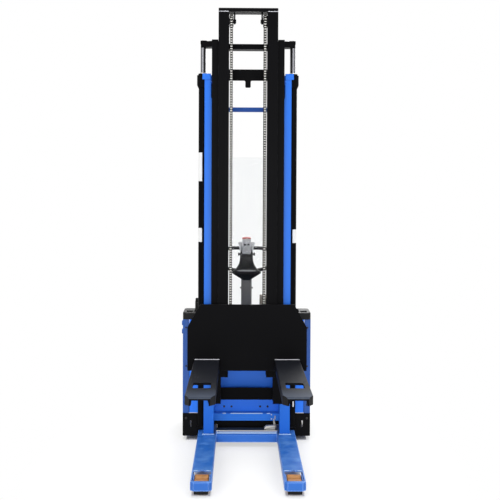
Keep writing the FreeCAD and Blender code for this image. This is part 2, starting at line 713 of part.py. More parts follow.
def side_covers():
    """Sheet side covers, each folded round the front corner and the rear corner."""
    x1 = BODY_HALF
    corner = 14.0
    outer = box(PANEL_SEAM, x1, BODY_FRONT - SHEET, BAY_BACK, SKIRT_TOP, CAP_LOW)
    outer = outer.makeFillet(corner, edges_along(outer, V(0, 0, 1),
                                                 lambda p: p.y < BODY_FRONT and p.x > x1 - 5))
    hollow = box(PANEL_SEAM - SHEET, x1 - SHEET, BODY_FRONT, BAY_BACK + 1, SKIRT_TOP - 1,
                 CAP_LOW + 1)
    hollow = hollow.makeFillet(corner - SHEET, edges_along(
        hollow, V(0, 0, 1), lambda p: p.y < BODY_FRONT + 1 and p.x > x1 - 5))
    return both(cut(outer, hollow))


def top_tray():
    """Moulded black tray over the battery bay, with corner caps and bins."""
    x1 = BODY_HALF
    tray = box(-x1, x1, BODY_FRONT - 6, BAY_BACK + 6, CAP_LOW, CAP_TOP)
    tray = tray.makeFillet(26, edges_along(tray, V(0, 0, 1), lambda p: True))
    tray = bevelled(tray, 5, lambda p: near(p.z, (CAP_TOP,)))
    bins = [(-x1 + 74, -60), (-45, x1 - 74)]
    for left, right in bins:
        hole = box(left, right, BODY_FRONT + 30, BAY_BACK - 25, CAP_LOW + 8, CAP_TOP + 1)
        hole = hole.makeFillet(5, edges_along(hole, V(0, 0, 1), lambda p: True))
        tray = cut(tray, hole)
    for side in (-1, 1):
        x = side * (x1 - 45)
        pocket = box(x - 22, x + 22, BODY_FRONT + 20, BODY_FRONT + 95, CAP_TOP - 22, CAP_TOP + 1)
        pocket = pocket.makeFillet(8, edges_along(pocket, V(0, 0, 1), lambda p: True))
        tray = cut(tray, pocket)
    return tray


def document_bin():
    """Tall open holder at the left of the tray, its rim lower in front."""
    x0 = 80 - BODY_HALF
    x1 = x0 + HOLDER_W
    y0 = BODY_FRONT + 55
    y1 = y0 + HOLDER_L
    low = CAP_LOW + 8
    top = CAP_TOP + HOLDER_H
    outer = prism_x([(y0, low), (y1, low), (y1, top), (y0, top - HOLDER_SLOPE)], x0, x1)
    outer = outer.makeFillet(6, edges_along(outer, V(0, 0, 1), lambda p: True))
    hollow = box(x0 + SHEET, x1 - SHEET, y0 + SHEET, y1 - SHEET, low + 6, top + 10)
    hollow = hollow.makeFillet(6 - SHEET, edges_along(hollow, V(0, 0, 1), lambda p: True))
    return cut(outer, hollow)


def meter_box():
    """Box of the display and key switch: its face slopes towards the driver."""
    x1 = BODY_HALF - 170
    x0 = x1 - METER_W
    y0 = BODY_FRONT + 70
    y1 = y0 + METER_L
    low = CAP_LOW + 8
    top = CAP_TOP + METER_H
    shape = prism_x([(y0, low), (y1, low), (y1, top - 46), (y0 + 34, top), (y0, top)], x0, x1)
    shape = shape.makeFillet(7, edges_along(shape, V(0, 0, 1), lambda p: True))
    frame = prism_x([(y0 + 30, top + 30), (y1 + 30, top - 30), (y1 - 6, top - 44),
                     (y0 + 38, top - 8)], x0 + 16, x1 - 16)
    return cut(shape, frame)


def rear_hood():
    """Moulded cover over the drive unit, hollow, with louvres and the column's opening."""
    half = REAR_HOOD_HALF
    y0 = BAY_BACK + PLATE + 2
    y1 = BODY_BACK
    low = SKIRT_TOP
    top = REAR_HOOD_TOP

    def body(inset, spill):
        points = [(y0 - spill, low - spill), (y1 - inset, low - spill),
                  (y1 - inset, top - REAR_HOOD_SLOPE),
                  (y1 - 90 - inset, top - inset), (y0 - spill, top - inset)]
        shape = prism_x(points, -half + inset, half - inset)
        return shape.makeFillet(40 - inset, edges_along(shape, V(0, 0, 1),
                                                        lambda p: p.y > y1 - 20))

    outer = body(0, 0)
    outer = outer.makeChamfer(9, edges_along(outer, V(0, 1, 0), lambda p: near(p.z, (top,))))
    shell = cut(outer, body(HOOD_WALL + 5, 1), body(HOOD_WALL, 1).common(
        box(-BODY_HALF, BODY_HALF, 0, BODY_BACK, 0, top - 40)))
    shell = cut(shell, rod_z(0, DRIVE_Y, top - 140, top + 20, 2 * 75))
    for row in range(LOUVRES):
        z = FRAME_TOP + 60 + row * LOUVRE_PITCH
        shell = cut(shell, box(-BODY_HALF, BODY_HALF, y0 + 60, y0 + 60 + LOUVRE_L, z, z + 9))
    return shell


def skirts():
    """Low black covers: one at each side with a slot in front, and one between them."""
    x1 = BODY_HALF
    x0 = SKIRT_INNER
    front = BODY_FRONT - SHEET - SKIRT_WALL
    corner = 14.0
    outer = box(x0, x1, front, BODY_BACK, SKIRT_LOW, SKIRT_TOP)
    outer = outer.makeFillet(corner, edges_along(outer, V(0, 0, 1), lambda p: p.x > x1 - 5))
    hollow = box(x0 - corner, x1 - SKIRT_WALL, front + SKIRT_WALL, BODY_BACK - SKIRT_WALL,
                 SKIRT_LOW - 1, SKIRT_TOP - SKIRT_WALL)
    hollow = hollow.makeFillet(corner - SKIRT_WALL, edges_along(
        hollow, V(0, 0, 1), lambda p: p.x > x1 - 10))
    inside = box(x0 - 1, SIDE_PLATE_X, front + SKIRT_WALL, BODY_BACK + 1,
                 SKIRT_TOP - SKIRT_WALL - 1, SKIRT_TOP + 1)
    leg_room = box(x0 - 1, LEG_HALF + 2, front - 1, front + SKIRT_WALL + 1, SKIRT_LOW - 1,
                   BARREL_LOW + 2)
    slot_x = (LEG_HALF + x1) / 2
    slot = box(slot_x - 5, slot_x + 5, front - 1, front + SKIRT_WALL + 1, SKIRT_TOP - 94,
               SKIRT_TOP - 48)
    slot = slot.makeFillet(4.5, edges_along(slot, V(0, 1, 0), lambda p: True))
    side = cut(outer, hollow, inside, leg_room, slot)
    leg_in = LEG_HALF - LEG_WIDTH
    outline = mirrored([(x0 - 0.3, SKIRT_TOP), (x0 - 0.3, BARREL_LOW + 2),
                        (leg_in - 5, BARREL_LOW + 2), (leg_in - 5, SKIRT_LOW + 20)])
    middle = prism_y(outline, BODY_FRONT - SHEET, BODY_FRONT)
    return Part.makeCompound([side, other_side(side), middle])


def bumper():
    points = [(-BODY_HALF + 60, BODY_BACK), (BODY_HALF - 60, BODY_BACK),
              (BODY_HALF - 90, REAR_Y), (-BODY_HALF + 90, REAR_Y)]
    bar = prism_z(points, FLOOR_Z + 10, FLOOR_Z + 80)
    return bevelled(bar, 6, lambda p: near(p.y, (REAR_Y,)) and abs(p.x) < 1)


def mast_guard():
    return box(-OUTER_TIP - 20, OUTER_TIP + 20, SECTION, SECTION + 4,
               CAP_TOP + 13, OUTER_TOP - 538)


def battery_block():
    half = SIDE_PLATE_X - PLATE - 65
    return box(-half, half, BODY_FRONT + 15, BAY_BACK - 5, FLOOR_Z + PLATE, CAP_LOW - 21)


# Drive, steering and tiller

def drive_unit():
    """Turning ring, upright motor and the gearbox that carries the wheel's axle."""
    deck = DECK_Z + PLATE
    rim = DECK_HOLE / 2
    profile = [(DRIVE_D + 20, 0), (DRIVE_D + 20, rim - 6), (deck + 0.3, rim - 6),
               (deck + 0.3, rim + 11), (deck + 18, rim + 11), (deck + 18, 80),
               (MOTOR_TOP - 30, 80), (MOTOR_TOP, 62), (MOTOR_TOP, 0)]
    body = turned(profile, V(0, DRIVE_Y, 0), V(0, 0, 1))
    z = DRIVE_D / 2
    x0 = DRIVE_W / 2 + 8
    x1 = x0 + GEARBOX_T
    reach = 50
    cheek = prism_x([(DRIVE_Y - reach, z), (DRIVE_Y + reach, z), (DRIVE_Y + reach, DRIVE_D - 20),
                     (DRIVE_Y + 40, DRIVE_D + 25), (DRIVE_Y - 40, DRIVE_D + 25),
                     (DRIVE_Y - reach, DRIVE_D - 20)], x0, x1)
    eye = rod_x(x0, x1, DRIVE_Y, z, 2 * reach)
    cover = rod_x(x1 - 1, x1 + 5, DRIVE_Y, z, 74)
    axle = rod_x(-DRIVE_W / 2, x0 + 2, DRIVE_Y, z, DRIVE_AXLE)
    return fuse(body, cheek, eye, cover, axle)


def drive_wheel():
    return tyre(0, DRIVE_Y, DRIVE_D / 2, DRIVE_D, DRIVE_W, DRIVE_AXLE + 2 * PIN_GAP, 7)


def steering_column():
    base_z = TILLER_Z - 55
    column = rod_z(0, DRIVE_Y, MOTOR_TOP, base_z + 15, 110)
    base = box(-50, 50, DRIVE_Y - 45, TILLER_Y + 30, base_z, base_z + 26)
    base = base.makeFillet(12, edges_along(base, V(0, 0, 1), lambda p: p.y < DRIVE_Y))
    lug = fuse(prism_x([(TILLER_Y - 35, base_z + 25), (TILLER_Y + 30, base_z + 25),
                        (TILLER_Y + LUG_R, TILLER_Z), (TILLER_Y - LUG_R, TILLER_Z)],
                       TILLER_HALF + 1, TILLER_HALF + 12),
               rod_x(TILLER_HALF + 1, TILLER_HALF + 12, TILLER_Y, TILLER_Z, 2 * LUG_R))
    pin = rod_x(-TILLER_HALF - 1, TILLER_HALF + 1, TILLER_Y, TILLER_Z, TILLER_PIN)
    return fuse(column, base, lug, other_side(lug), pin)


def tiller_arm():
    """Pressed arm with bevelled sides and a sunk back, on its eye."""
    h = TILLER_HALF
    depth = ARM_DEPTH / 2
    outline = [(-h, TILLER_Y - depth + 8), (-h + 8, TILLER_Y - depth), (h - 8, TILLER_Y - depth),
               (h, TILLER_Y - depth + 8), (h, TILLER_Y + depth), (-h, TILLER_Y + depth)]
    arm = prism_z(outline, TILLER_Z - 10, TILLER_Z + ARM_LENGTH)
    sunk = box(-h + 14, h - 14, TILLER_Y + depth - 8, TILLER_Y + depth + 1, TILLER_Z + 40,
               TILLER_Z + ARM_LENGTH - 100)
    eye = rod_x(-h, h, TILLER_Y, TILLER_Z, 44)
    bore = rod_x(-h - 1, h + 1, TILLER_Y, TILLER_Z, TILLER_PIN + 2 * PIN_GAP)
    pins = rod_x(-h - 8, h + 8, TILLER_Y, TILLER_Z + 173, 12)
    return cut(fuse(cut(arm, sunk), eye, pins), bore)


def tiller_head():
    """Moulded black head: a flared body with a pointed chin, and the two grip loops."""
    y0 = TILLER_Y - 30
    y1 = TILLER_Y + 45
    rows = (  # half width, height above the tiller's pin
        (52, 462), (54, 400), (60, 350), (70, 318), (84, 300), (118, 290), (112, 277), (40, 221),
    )
    body = prism_y(mirrored([(x, TILLER_Z + z) for x, z in rows]), y0, y1)
    body = bevelled(body, 6, lambda p: near(p.y, (y0, y1)))
    body = cut(body, box(-TILLER_HALF, TILLER_HALF, TILLER_Y - ARM_DEPTH / 2,
                         TILLER_Y + ARM_DEPTH / 2, TILLER_Z + 200, TILLER_Z + ARM_LENGTH))
    grip_y = TILLER_Y + 20
    half = GRIP_D / 2
    outer_rows = ((40, 462), (188, 455), (181, 269), (60, 282))
    inner_rows = ((56, 429), (156, 422), (149, 302), (76, 312))
    outer = prism_y([(x, TILLER_Z + z) for x, z in outer_rows], grip_y - half, grip_y + half)
    outer = outer.makeFillet(26, edges_along(outer, V(0, 1, 0), lambda p: p.x > 150))
    hole = prism_y([(x, TILLER_Z + z) for x, z in inner_rows], grip_y - half - 1,
                   grip_y + half + 1)
    hole = hole.makeFillet(12, edges_along(hole, V(0, 1, 0), lambda p: p.x > 100))
    loop = cut(outer, hole)
    loop = bevelled(loop, 7, lambda p: near(p.y, (grip_y - half, grip_y + half)) and p.x > 50)
    return fuse(body, loop, other_side(loop))


def tiller_controls():
    """Light cover over the head with two paddle switches and the reverse button."""
    y0 = TILLER_Y - 34
    y1 = TILLER_Y + 40
    low = TILLER_Z + 462.5
    top = TILLER_Z + 518
    cover = prism_y([(-33, low), (33, low), (28, top), (-28, top)], y0, y1)
    cover = bevelled(cover, 6, lambda p: near(p.y, (y0, y1)) and p.z > low + 1)
    button = rod_z(0, TILLER_Y + 4, top - 2, top + 12, 32)
    paddle = prism_x([(TILLER_Y - 16, low + 4), (TILLER_Y + 12, low + 4), (TILLER_Y + 4, top - 8),
                      (TILLER_Y - 10, top - 8)], 28, 62)
    paddle = paddle.makeFillet(5, edges_along(paddle, V(1, 0, 0), lambda p: True))
    return fuse(cover, button, paddle, other_side(paddle))


def caster_axis(side):
    return side * CASTER_X, CASTER_Y


def caster_fork(side):
    x, y = caster_axis(side)
    half = 2 * CASTER_W / 2 + 14
    z = CASTER_D / 2
    axle_y = y + CASTER_TRAIL
    crown_z = CASTER_D + 13
    crown = box(x - half, x + half, y - 45, axle_y + 45, crown_z, crown_z + 8)
    crown = crown.makeFillet(16, edges_along(crown, V(0, 0, 1), lambda p: True))
    stem = rod_z(x, y, crown_z + 6, CASTER_TOP, CASTER_STEM)
    race = turned([(crown_z + 4, 0), (crown_z + 4, 44), (crown_z + 20, 36), (crown_z + 20, 0)],
                  V(x, y, 0), V(0, 0, 1))
    axle = rod_x(x - half, x + half, axle_y, z, CASTER_AXLE)
    plates = []
    for inward in (-1, 1):
        px = x + inward * (half - 3)
        plates.append(prism_x([(y - 28, crown_z + 2), (axle_y + 28, crown_z + 2),
                               (axle_y + 19, z), (axle_y - 19, z)], px - 3, px + 3))
        plates.append(rod_x(px - 3, px + 3, axle_y, z, 38))
    return fuse(crown, stem, race, axle, *plates)


def caster_wheel(side):
    x, y = caster_axis(side)
    return tyre(x, y + CASTER_TRAIL, CASTER_D / 2, CASTER_D, 2 * CASTER_W + 6,
                CASTER_AXLE + 2 * PIN_GAP, 6)


def save(name, shape):
    placed = shape.copy()
    placed.translate(V(0, Y_SHIFT, 0))
    placed.exportStep(f"parts/{name}.step")


NODES = {
    "base_frame": base_frame,
    "leg_right": leg,
    "leg_left": lambda: other_side(leg()),
    "leg_axles": leg_axles,
    "cross_member": cross_member,
    "gap_plate": gap_plate,
    "outer_mast_channels": outer_channels,
    "outer_mast_ties": outer_ties,
    "cylinder_barrels": cylinder_barrels,
    "mast_guard": mast_guard,
    "front_bulkhead": front_bulkhead,
    "side_covers": side_covers,
    "top_tray": top_tray,
    "document_bin": document_bin,
    "meter_box": meter_box,
    "rear_hood": rear_hood,
    "skirts": skirts,
    "bumper": bumper,
    "battery_block": battery_block,
    "mid_mast_channels": mid_channels,
    "mid_mast_ties": mid_ties,
    "lift_rods": lift_rods,
    "inner_mast_channels": inner_channels,
    "inner_mast_ties": inner_ties,
    "chain_pulleys": chain_pulleys,
    "lift_chains": lift_chains,
    "backrest_plate": backrest_plate,
    "carriage_frame": carriage_frame,
    "carriage_rollers": carriage_rollers,
    "fork_right": fork,
    "fork_left": lambda: other_side(fork()),
    "drive_unit": drive_unit,
    "drive_wheel": drive_wheel,
    "steering_column": steering_column,
    "tiller_arm": tiller_arm,
    "tiller_head": tiller_head,
    "tiller_controls": tiller_controls,
}
for side, word in ((-1, "left"), (1, "right")):
    NODES[f"caster_fork_{word}"] = lambda side=side: caster_fork(side)
    NODES[f"caster_wheel_{word}"] = lambda side=side: caster_wheel(side)
    for place, y in zip(("front", "back"), load_ys()):
        NODES[f"load_roller_{word}_{place}"] = lambda side=side, y=y: load_roller(y, side)

os.makedirs("parts", exist_ok=True)
for name, make in NODES.items():
    save(name, make())
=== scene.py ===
import math

import bmesh
import bpy
from mathutils import Matrix, Vector


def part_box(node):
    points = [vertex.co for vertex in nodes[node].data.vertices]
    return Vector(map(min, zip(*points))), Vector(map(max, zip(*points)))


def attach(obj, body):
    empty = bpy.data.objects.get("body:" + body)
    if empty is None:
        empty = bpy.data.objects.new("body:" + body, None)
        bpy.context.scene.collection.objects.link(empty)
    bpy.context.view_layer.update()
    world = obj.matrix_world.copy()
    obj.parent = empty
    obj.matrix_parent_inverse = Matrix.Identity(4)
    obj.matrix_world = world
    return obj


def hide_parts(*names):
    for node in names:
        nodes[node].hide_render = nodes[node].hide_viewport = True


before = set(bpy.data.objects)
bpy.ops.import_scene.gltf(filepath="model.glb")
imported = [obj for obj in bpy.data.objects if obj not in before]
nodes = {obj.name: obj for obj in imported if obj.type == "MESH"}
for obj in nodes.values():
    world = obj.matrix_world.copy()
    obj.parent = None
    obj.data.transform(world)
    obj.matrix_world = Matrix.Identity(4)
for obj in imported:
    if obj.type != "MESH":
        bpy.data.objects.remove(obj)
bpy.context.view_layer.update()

# The mast's front face lies this far behind the frame's origin
MAST_Y = 0.252


# Colours

def srgb(red, green, blue):
    """Linear colour from 0 to 255 screen values."""
    channels = []
    for value in (red, green, blue):
        value /= 255
        channels.append(value / 12.92 if value <= 0.04045 else ((value + 0.055) / 1.055) ** 2.4)
    return (*channels, 1.0)


# Nodes

def node_group(name, inputs, outputs, kind="ShaderNodeTree"):
    """Empty node group with named inputs (name, kind, default) and outputs (name, kind)."""
    group = bpy.data.node_groups.new(name, kind)
    for socket, sort, default in inputs:
        item = group.interface.new_socket(socket, in_out="INPUT", socket_type=f"NodeSocket{sort}")
        if default is not None:
            item.default_value = default
    for socket, sort in outputs:
        group.interface.new_socket(socket, in_out="OUTPUT", socket_type=f"NodeSocket{sort}")
    start = group.nodes.new("NodeGroupInput")
    end = group.nodes.new("NodeGroupOutput")
    return group, start.outputs, end.inputs


def feed(tree, value, socket):
    """Links a socket, or sets a plain value."""
    if isinstance(value, bpy.types.NodeSocket):
        tree.links.new(value, socket)
    else:
        socket.default_value = value


def add_node(tree, kind, inputs=None, **settings):
    """Node with its properties, and then its inputs by name, set. A kind that names no family
    is a shader node's."""
    node = tree.nodes.new(kind if "Node" in kind else f"ShaderNode{kind}")
    for name, value in settings.items():
        setattr(node, name, value)
    for name, value in (inputs or {}).items():
        feed(tree, value, node.inputs[name])
    return node


def math_node(tree, operation, *values):
    """Math node on numbers and sockets. Returns its output."""
    node = add_node(tree, "Math", operation=operation)
    for socket, value in zip(node.inputs, values):
        feed(tree, value, socket)
    return node.outputs[0]


def product(tree, first, second):
    return math_node(tree, "MULTIPLY", first, second)


def noise(tree, vector, scale, detail=3.0, roughness=0.5):
    return add_node(tree, "TexNoise", {"Vector": vector, "Scale": scale, "Detail": detail,
                                       "Roughness": roughness}).outputs[0]


def ramp(tree, value, low, high):
    """0 below low, 1 above high."""
    return add_node(tree, "MapRange", {"Value": value, "From Min": low, "From Max": high},
                    interpolation_type="SMOOTHSTEP").outputs[0]


def raised(tree, share, low):
    """A share from 0 to 1 that starts at low instead."""
    return math_node(tree, "ADD", product(tree, share, 1.0 - low), low)


def stretch(tree, vector, scale):
    return add_node(tree, "Mapping", {"Vector": vector, "Scale": scale}).outputs[0]


def coordinates(tree, vector):
    """Sockets of a vector's X, Y and Z."""
    return add_node(tree, "SeparateXYZ", {"Vector": vector}).outputs


def facing_up(tree, full):
    """0 on surfaces that lie steep, 1 where the normal's Z is full or more."""
    normal = add_node(tree, "NewGeometry").outputs["Normal"]
    return ramp(tree, coordinates(tree, normal)["Z"], 0.4, full)


# Shader groups

def build_soft_edges():
    """Rounded shading at sharp edges, and a mask of those edges."""
    group, start, end = node_group(
        "soft_edges", [("Radius", "Float", 0.002)], [("Normal", "Vector"), ("Edge", "Float")])
    bevel = add_node(group, "Bevel", {"Radius": start["Radius"]}, samples=4)
    geometry = add_node(group, "NewGeometry")
    dot = add_node(group, "VectorMath", operation="DOT_PRODUCT")
    feed(group, bevel.outputs[0], dot.inputs[0])
    feed(group, geometry.outputs["Normal"], dot.inputs[1])
    bend = math_node(group, "SUBTRACT", 1.0, dot.outputs["Value"])
    feed(group, bevel.outputs[0], end["Normal"])
    feed(group, ramp(group, bend, 0.02, 0.2), end["Edge"])
    return group


def build_paint_skin():
    """Fine orange peel and slow change of gloss of a sprayed or powder coat."""
    group, start, end = node_group(
        "paint_skin",
        [("Vector", "Vector", None), ("Peel Scale", "Float", 900.0), ("Roughness", "Float", 0.35),
         ("Variation", "Float", 0.08)],
        [("Height", "Float"), ("Roughness", "Float"), ("Shade", "Float")])
    peel = noise(group, start["Vector"], start["Peel Scale"], 2.0)
    slow = noise(group, start["Vector"], 3.5, 3.0)
    offset = product(group, math_node(group, "SUBTRACT", slow, 0.5), start["Variation"])
    feed(group, peel, end["Height"])
    feed(group, math_node(group, "ADD", start["Roughness"], offset), end["Roughness"])
    feed(group, slow, end["Shade"])
    return group


def build_wear_and_highlight():
    """Mask of rubbed edges and of painted edge highlights: the edge mask broken up by noise."""
    group, start, end = node_group(
        "wear_and_highlight",
        [("Vector", "Vector", None), ("Edge", "Float", 0.0), ("Scale", "Float", 40.0),
         ("Amount", "Float", 0.5)],
        [("Mask", "Float")])
    broken = noise(group, start["Vector"], start["Scale"], 6.0, 0.65)
    threshold = math_node(group, "SUBTRACT", 1.0, start["Amount"])
    patch = ramp(group, broken, product(group, threshold, 0.7), threshold)
    feed(group, product(group, start["Edge"], patch), end["Mask"])
    return group


def build_scuffs():
    """Mask of long fine scratches along one axis, set by the stretch of the vector."""
    group, start, end = node_group(
        "scuffs",
        [("Vector", "Vector", None), ("Scale", "Float", 60.0), ("Amount", "Float", 0.3)],
        [("Mask", "Float")])
    fine = noise(group, start["Vector"], start["Scale"], 5.0, 0.7)
    cloud = noise(group, start["Vector"], product(group, start["Scale"], 0.11), 2.0)
    both = product(group, fine, cloud)
    threshold = math_node(group, "SUBTRACT", 0.5, product(group, start["Amount"], 0.4))
    high = math_node(group, "ADD", threshold, 0.08)
    feed(group, ramp(group, both, threshold, high), end["Mask"])
    return group


def build_dust():
    """Thin dust on surfaces that face up; the legs also use it to paint their tops lighter."""
    group, start, end = node_group(
        "dust", [("Vector", "Vector", None), ("Amount", "Float", 0.3)], [("Mask", "Float")])
    cloud = noise(group, start["Vector"], 14.0, 5.0, 0.6)
    both = product(group, facing_up(group, 1.0), ramp(group, cloud, 0.3, 0.8))
    feed(group, product(group, both, start["Amount"]), end["Mask"])
    return group


def build_upward():
    """Mask of surfaces that face up."""
    group, _, end = node_group("upward", [], [("Mask", "Float")])
    feed(group, facing_up(group, 0.9), end["Mask"])
    return group


SOFT_EDGES = build_soft_edges()
PAINT_SKIN = build_paint_skin()
WEAR_AND_HIGHLIGHT = build_wear_and_highlight()
SCUFFS = build_scuffs()
DUST = build_dust()
UPWARD = build_upward()


# Materials

class Finish:
    """A material with one Principled shader, and short calls to build its maps."""

    def __init__(self, name, **sockets):
        self.name = name
        self.material = bpy.data.materials.new(name)
        self.material.use_nodes = True
        self.tree = self.material.node_tree
        self.shader = self.tree.nodes["Principled BSDF"]
        for socket, value in sockets.items():
            self.to(socket.replace("_", " "), value)
        self.place = add_node(self.tree, "TexCoord").outputs["Object"]

    def group(self, group, **values):
        """Outputs of a shader group. Without a vector, it works in Object coordinates."""
        node = add_node(self.tree, "Group", node_tree=group)
        if "Vector" in node.inputs:
            values.setdefault("Vector", self.place)
        for socket, value in values.items():
            feed(self.tree, value, node.inputs[socket.replace("_", " ")])
        return node.outputs

    def mask(self, group, **values):
        return self.group(group, **values)["Mask"]

    def noise(self, scale, detail=3.0, roughness=0.5, along=None):
        """Noise in Object coordinates, which along may scale."""
        vector = stretch(self.tree, self.place, along) if along else self.place
        return noise(self.tree, vector, scale, detail, roughness)

    def mix(self, factor, first, second, kind="RGBA"):
        return add_node(self.tree, "Mix", {"Factor": factor, "A": first, "B": second},
                        data_type=kind).outputs["Result"]

    def blend(self, factor, first, second):
        return self.mix(factor, first, second, "FLOAT")

    def times(self, first, second):
        return product(self.tree, first, second)

    def surface(self, colour, roughness, height=None, distance=0.0, strength=1.0, normal=None):
        """Sets the shader's colour and roughness, and its normal where a height is given.
        Returns the finish's row for the table of materials."""
        self.to("Base Color", colour)
        self.to("Roughness", roughness)
        if height is not None:
            bump = add_node(self.tree, "Bump", {"Strength": strength, "Distance": distance,
                                                "Height": height, "Normal": normal})
            self.to("Normal", bump.outputs[0])
        return self.name, self.material

    def to(self, socket, value):
        feed(self.tree, value, self.shader.inputs[socket])


def shaded(colour, factor, lift=0.0):
    """A colour made darker or lighter."""
    return tuple(min(1.0, c * factor + lift) for c in colour[:3]) + (1.0,)


# Edge colours: partly wear, partly a painted highlight of rounded edges
BRIGHT_EDGE = srgb(132, 170, 236)
BLACK_EDGE = srgb(62, 62, 66)
# Heights where the painted edge highlight near the floor starts and is full, and the same for the
# painted shade higher up
LOW_HIGHLIGHT_HEIGHTS = (0.34, 0.28)
HIGH_SHADE_HEIGHTS = (0.8, 1.6)


def paint(name, colour, roughness, edge_wear_and_highlight=BRIGHT_EDGE, under=0.0, edge_radius=0.002,
          wear_and_highlight=0.25, dust=0.1, shine=0.5, low_highlight=0.0, dust_and_top_light=srgb(150, 146, 138), high_shade=None):
    """Sprayed or powder coat with soft edges, edges lighter with wear and a painted highlight,
    and a little dust on top, which some finishes use as a painted top light. Near the floor
    a wider band along the edges carries a painted highlight, where low_highlight gives its
    width. Higher up the colour may change to a painted shade, high_shade."""
    look = Finish(name, Specular_IOR_Level=shine)
    edges = look.group(SOFT_EDGES, Radius=edge_radius)
    skin = look.group(PAINT_SKIN, Roughness=roughness)
    rubbed_and_highlit = look.mask(WEAR_AND_HIGHLIGHT, Edge=edges["Edge"], Amount=wear_and_highlight)
    height = coordinates(look.tree, look.place)["Z"]
    # Painted highlight in a wider band along the edges near the floor
    if low_highlight:
        band = look.group(SOFT_EDGES, Radius=low_highlight)["Edge"]
        band = look.mask(WEAR_AND_HIGHLIGHT, Edge=band, Scale=25.0, Amount=0.75)
        band = look.times(band, ramp(look.tree, height, *LOW_HIGHLIGHT_HEIGHTS))
        rubbed_and_highlit = math_node(look.tree, "MAXIMUM", rubbed_and_highlit, band)
    dust_and_painted_light = look.mask(DUST, Amount=dust)
    body = look.mix(skin["Shade"], shaded(colour, 0.88), colour)
    # Painted shade higher up
    if high_shade:
        body = look.mix(ramp(look.tree, height, *HIGH_SHADE_HEIGHTS), body, high_shade)
    # Dust on upward faces; with the legs' light blue it paints the tops lighter
    body = look.mix(dust_and_painted_light, body, dust_and_top_light)
    look.to("Metallic", look.times(rubbed_and_highlit, under))
    return look.surface(look.mix(rubbed_and_highlit, body, edge_wear_and_highlight), look.blend(dust_and_painted_light, skin["Roughness"], 0.7),
                        skin["Height"], 0.00005, 0.5, edges["Normal"])


def steel(name, colour, roughness, along, scale=120.0, metallic=1.0, edge_radius=0.001):
    """Bare or plated steel with fine lines along one axis."""
    look = Finish(name, Metallic=metallic)
    edges = look.group(SOFT_EDGES, Radius=edge_radius)
    lines = look.noise(scale, 4.0, 0.6, along)
    slow = look.noise(9.0, 4.0)
    return look.surface(look.mix(ramp(look.tree, slow, 0.3, 0.7), shaded(colour, 0.72), colour),
                        look.blend(lines, roughness * 0.75, roughness * 1.35),
                        lines, 0.00003, 0.6, edges["Normal"])


def plastic(name, colour, roughness, grain=0.0001, dust=0.0, shine=0.5, rubbed_and_highlit=None):
    """Moulded plastic with a fine grain, and edges in another colour where hands rub it,
    which on the head's black plastic is also a painted reflection.
    """
    look = Finish(name, Specular_IOR_Level=shine)
    edges = look.group(SOFT_EDGES, Radius=0.002)
    cells = add_node(look.tree, "TexVoronoi", {"Vector": look.place, "Scale": 1400.0})
    slow = look.noise(5.0)
    dust_and_painted_light = look.mask(DUST, Amount=dust)
    body = look.mix(slow, colour, shaded(colour, 1.18, 0.002))
    body = look.mix(dust_and_painted_light, body, srgb(120, 119, 116))
    if rubbed_and_highlit:
        # Wear along the edges, and on the head's black plastic a painted reflection
        worn = look.mask(WEAR_AND_HIGHLIGHT, Edge=edges["Edge"], Amount=0.4)
        body = look.mix(worn, body, rubbed_and_highlit)
    return look.surface(body, look.blend(slow, roughness * 0.9, roughness * 1.1),
                        cells.outputs["Distance"], grain, 0.5, edges["Normal"])


def fork_finish():
    """Black fork paint, scratched along its top by pallets, with grey on its top that is partly
    dust and partly a painted sheen, most at the tips, and edges lighter from wear and a painted
    highlight.
    """
    look = Finish("fork_paint", Specular_IOR_Level=0.04)
    edges = look.group(SOFT_EDGES, Radius=0.0025)
    skin = look.group(PAINT_SKIN, Roughness=0.5)
    rubbed_and_highlit = look.mask(WEAR_AND_HIGHLIGHT, Edge=edges["Edge"], Scale=30.0, Amount=0.3)
    nose_start, nose_end = -0.72, -0.98
    nose = ramp(look.tree, coordinates(look.tree, look.place)["Y"], nose_start, nose_end)
    lengthwise = stretch(look.tree, look.place, (1.0, 0.06, 1.0))
    scratched = look.mask(SCUFFS, Vector=lengthwise, Scale=90.0, Amount=0.35)
    upward = look.mask(UPWARD)
    scratched = look.times(scratched, upward)
    # Partly dust, partly a painted sheen on the top faces, growing towards the tips
    dust_and_painted_light = look.times(upward, look.blend(nose, 0.03, 0.38))
    body = look.mix(skin["Shade"], srgb(8, 8, 10), srgb(15, 15, 19))
    body = look.mix(dust_and_painted_light, body, srgb(78, 88, 106))
    body = look.mix(scratched, body, srgb(62, 64, 74))
    look.to("Metallic", look.times(rubbed_and_highlit, 0.6))
    return look.surface(look.mix(rubbed_and_highlit, body, srgb(84, 86, 94)),
                        look.blend(dust_and_painted_light, skin["Roughness"], 0.6),
                        skin["Height"], 0.00006, 0.5, edges["Normal"])


def tread_finish(name, colour, worn):
    """Polyurethane tread, with turned lines round it and grey rolling marks."""
    look = Finish(name)
    edges = look.group(SOFT_EDGES, Radius=0.002)
    rings = look.noise(350.0, along=(1.0, 0.02, 0.02))
    patches = look.noise(45.0, 5.0, 0.6)
    return look.surface(look.mix(ramp(look.tree, patches, 0.4, 0.75), colour, worn),
                        look.blend(patches, 0.38, 0.6), rings, 0.0001, 0.4, edges["Normal"])


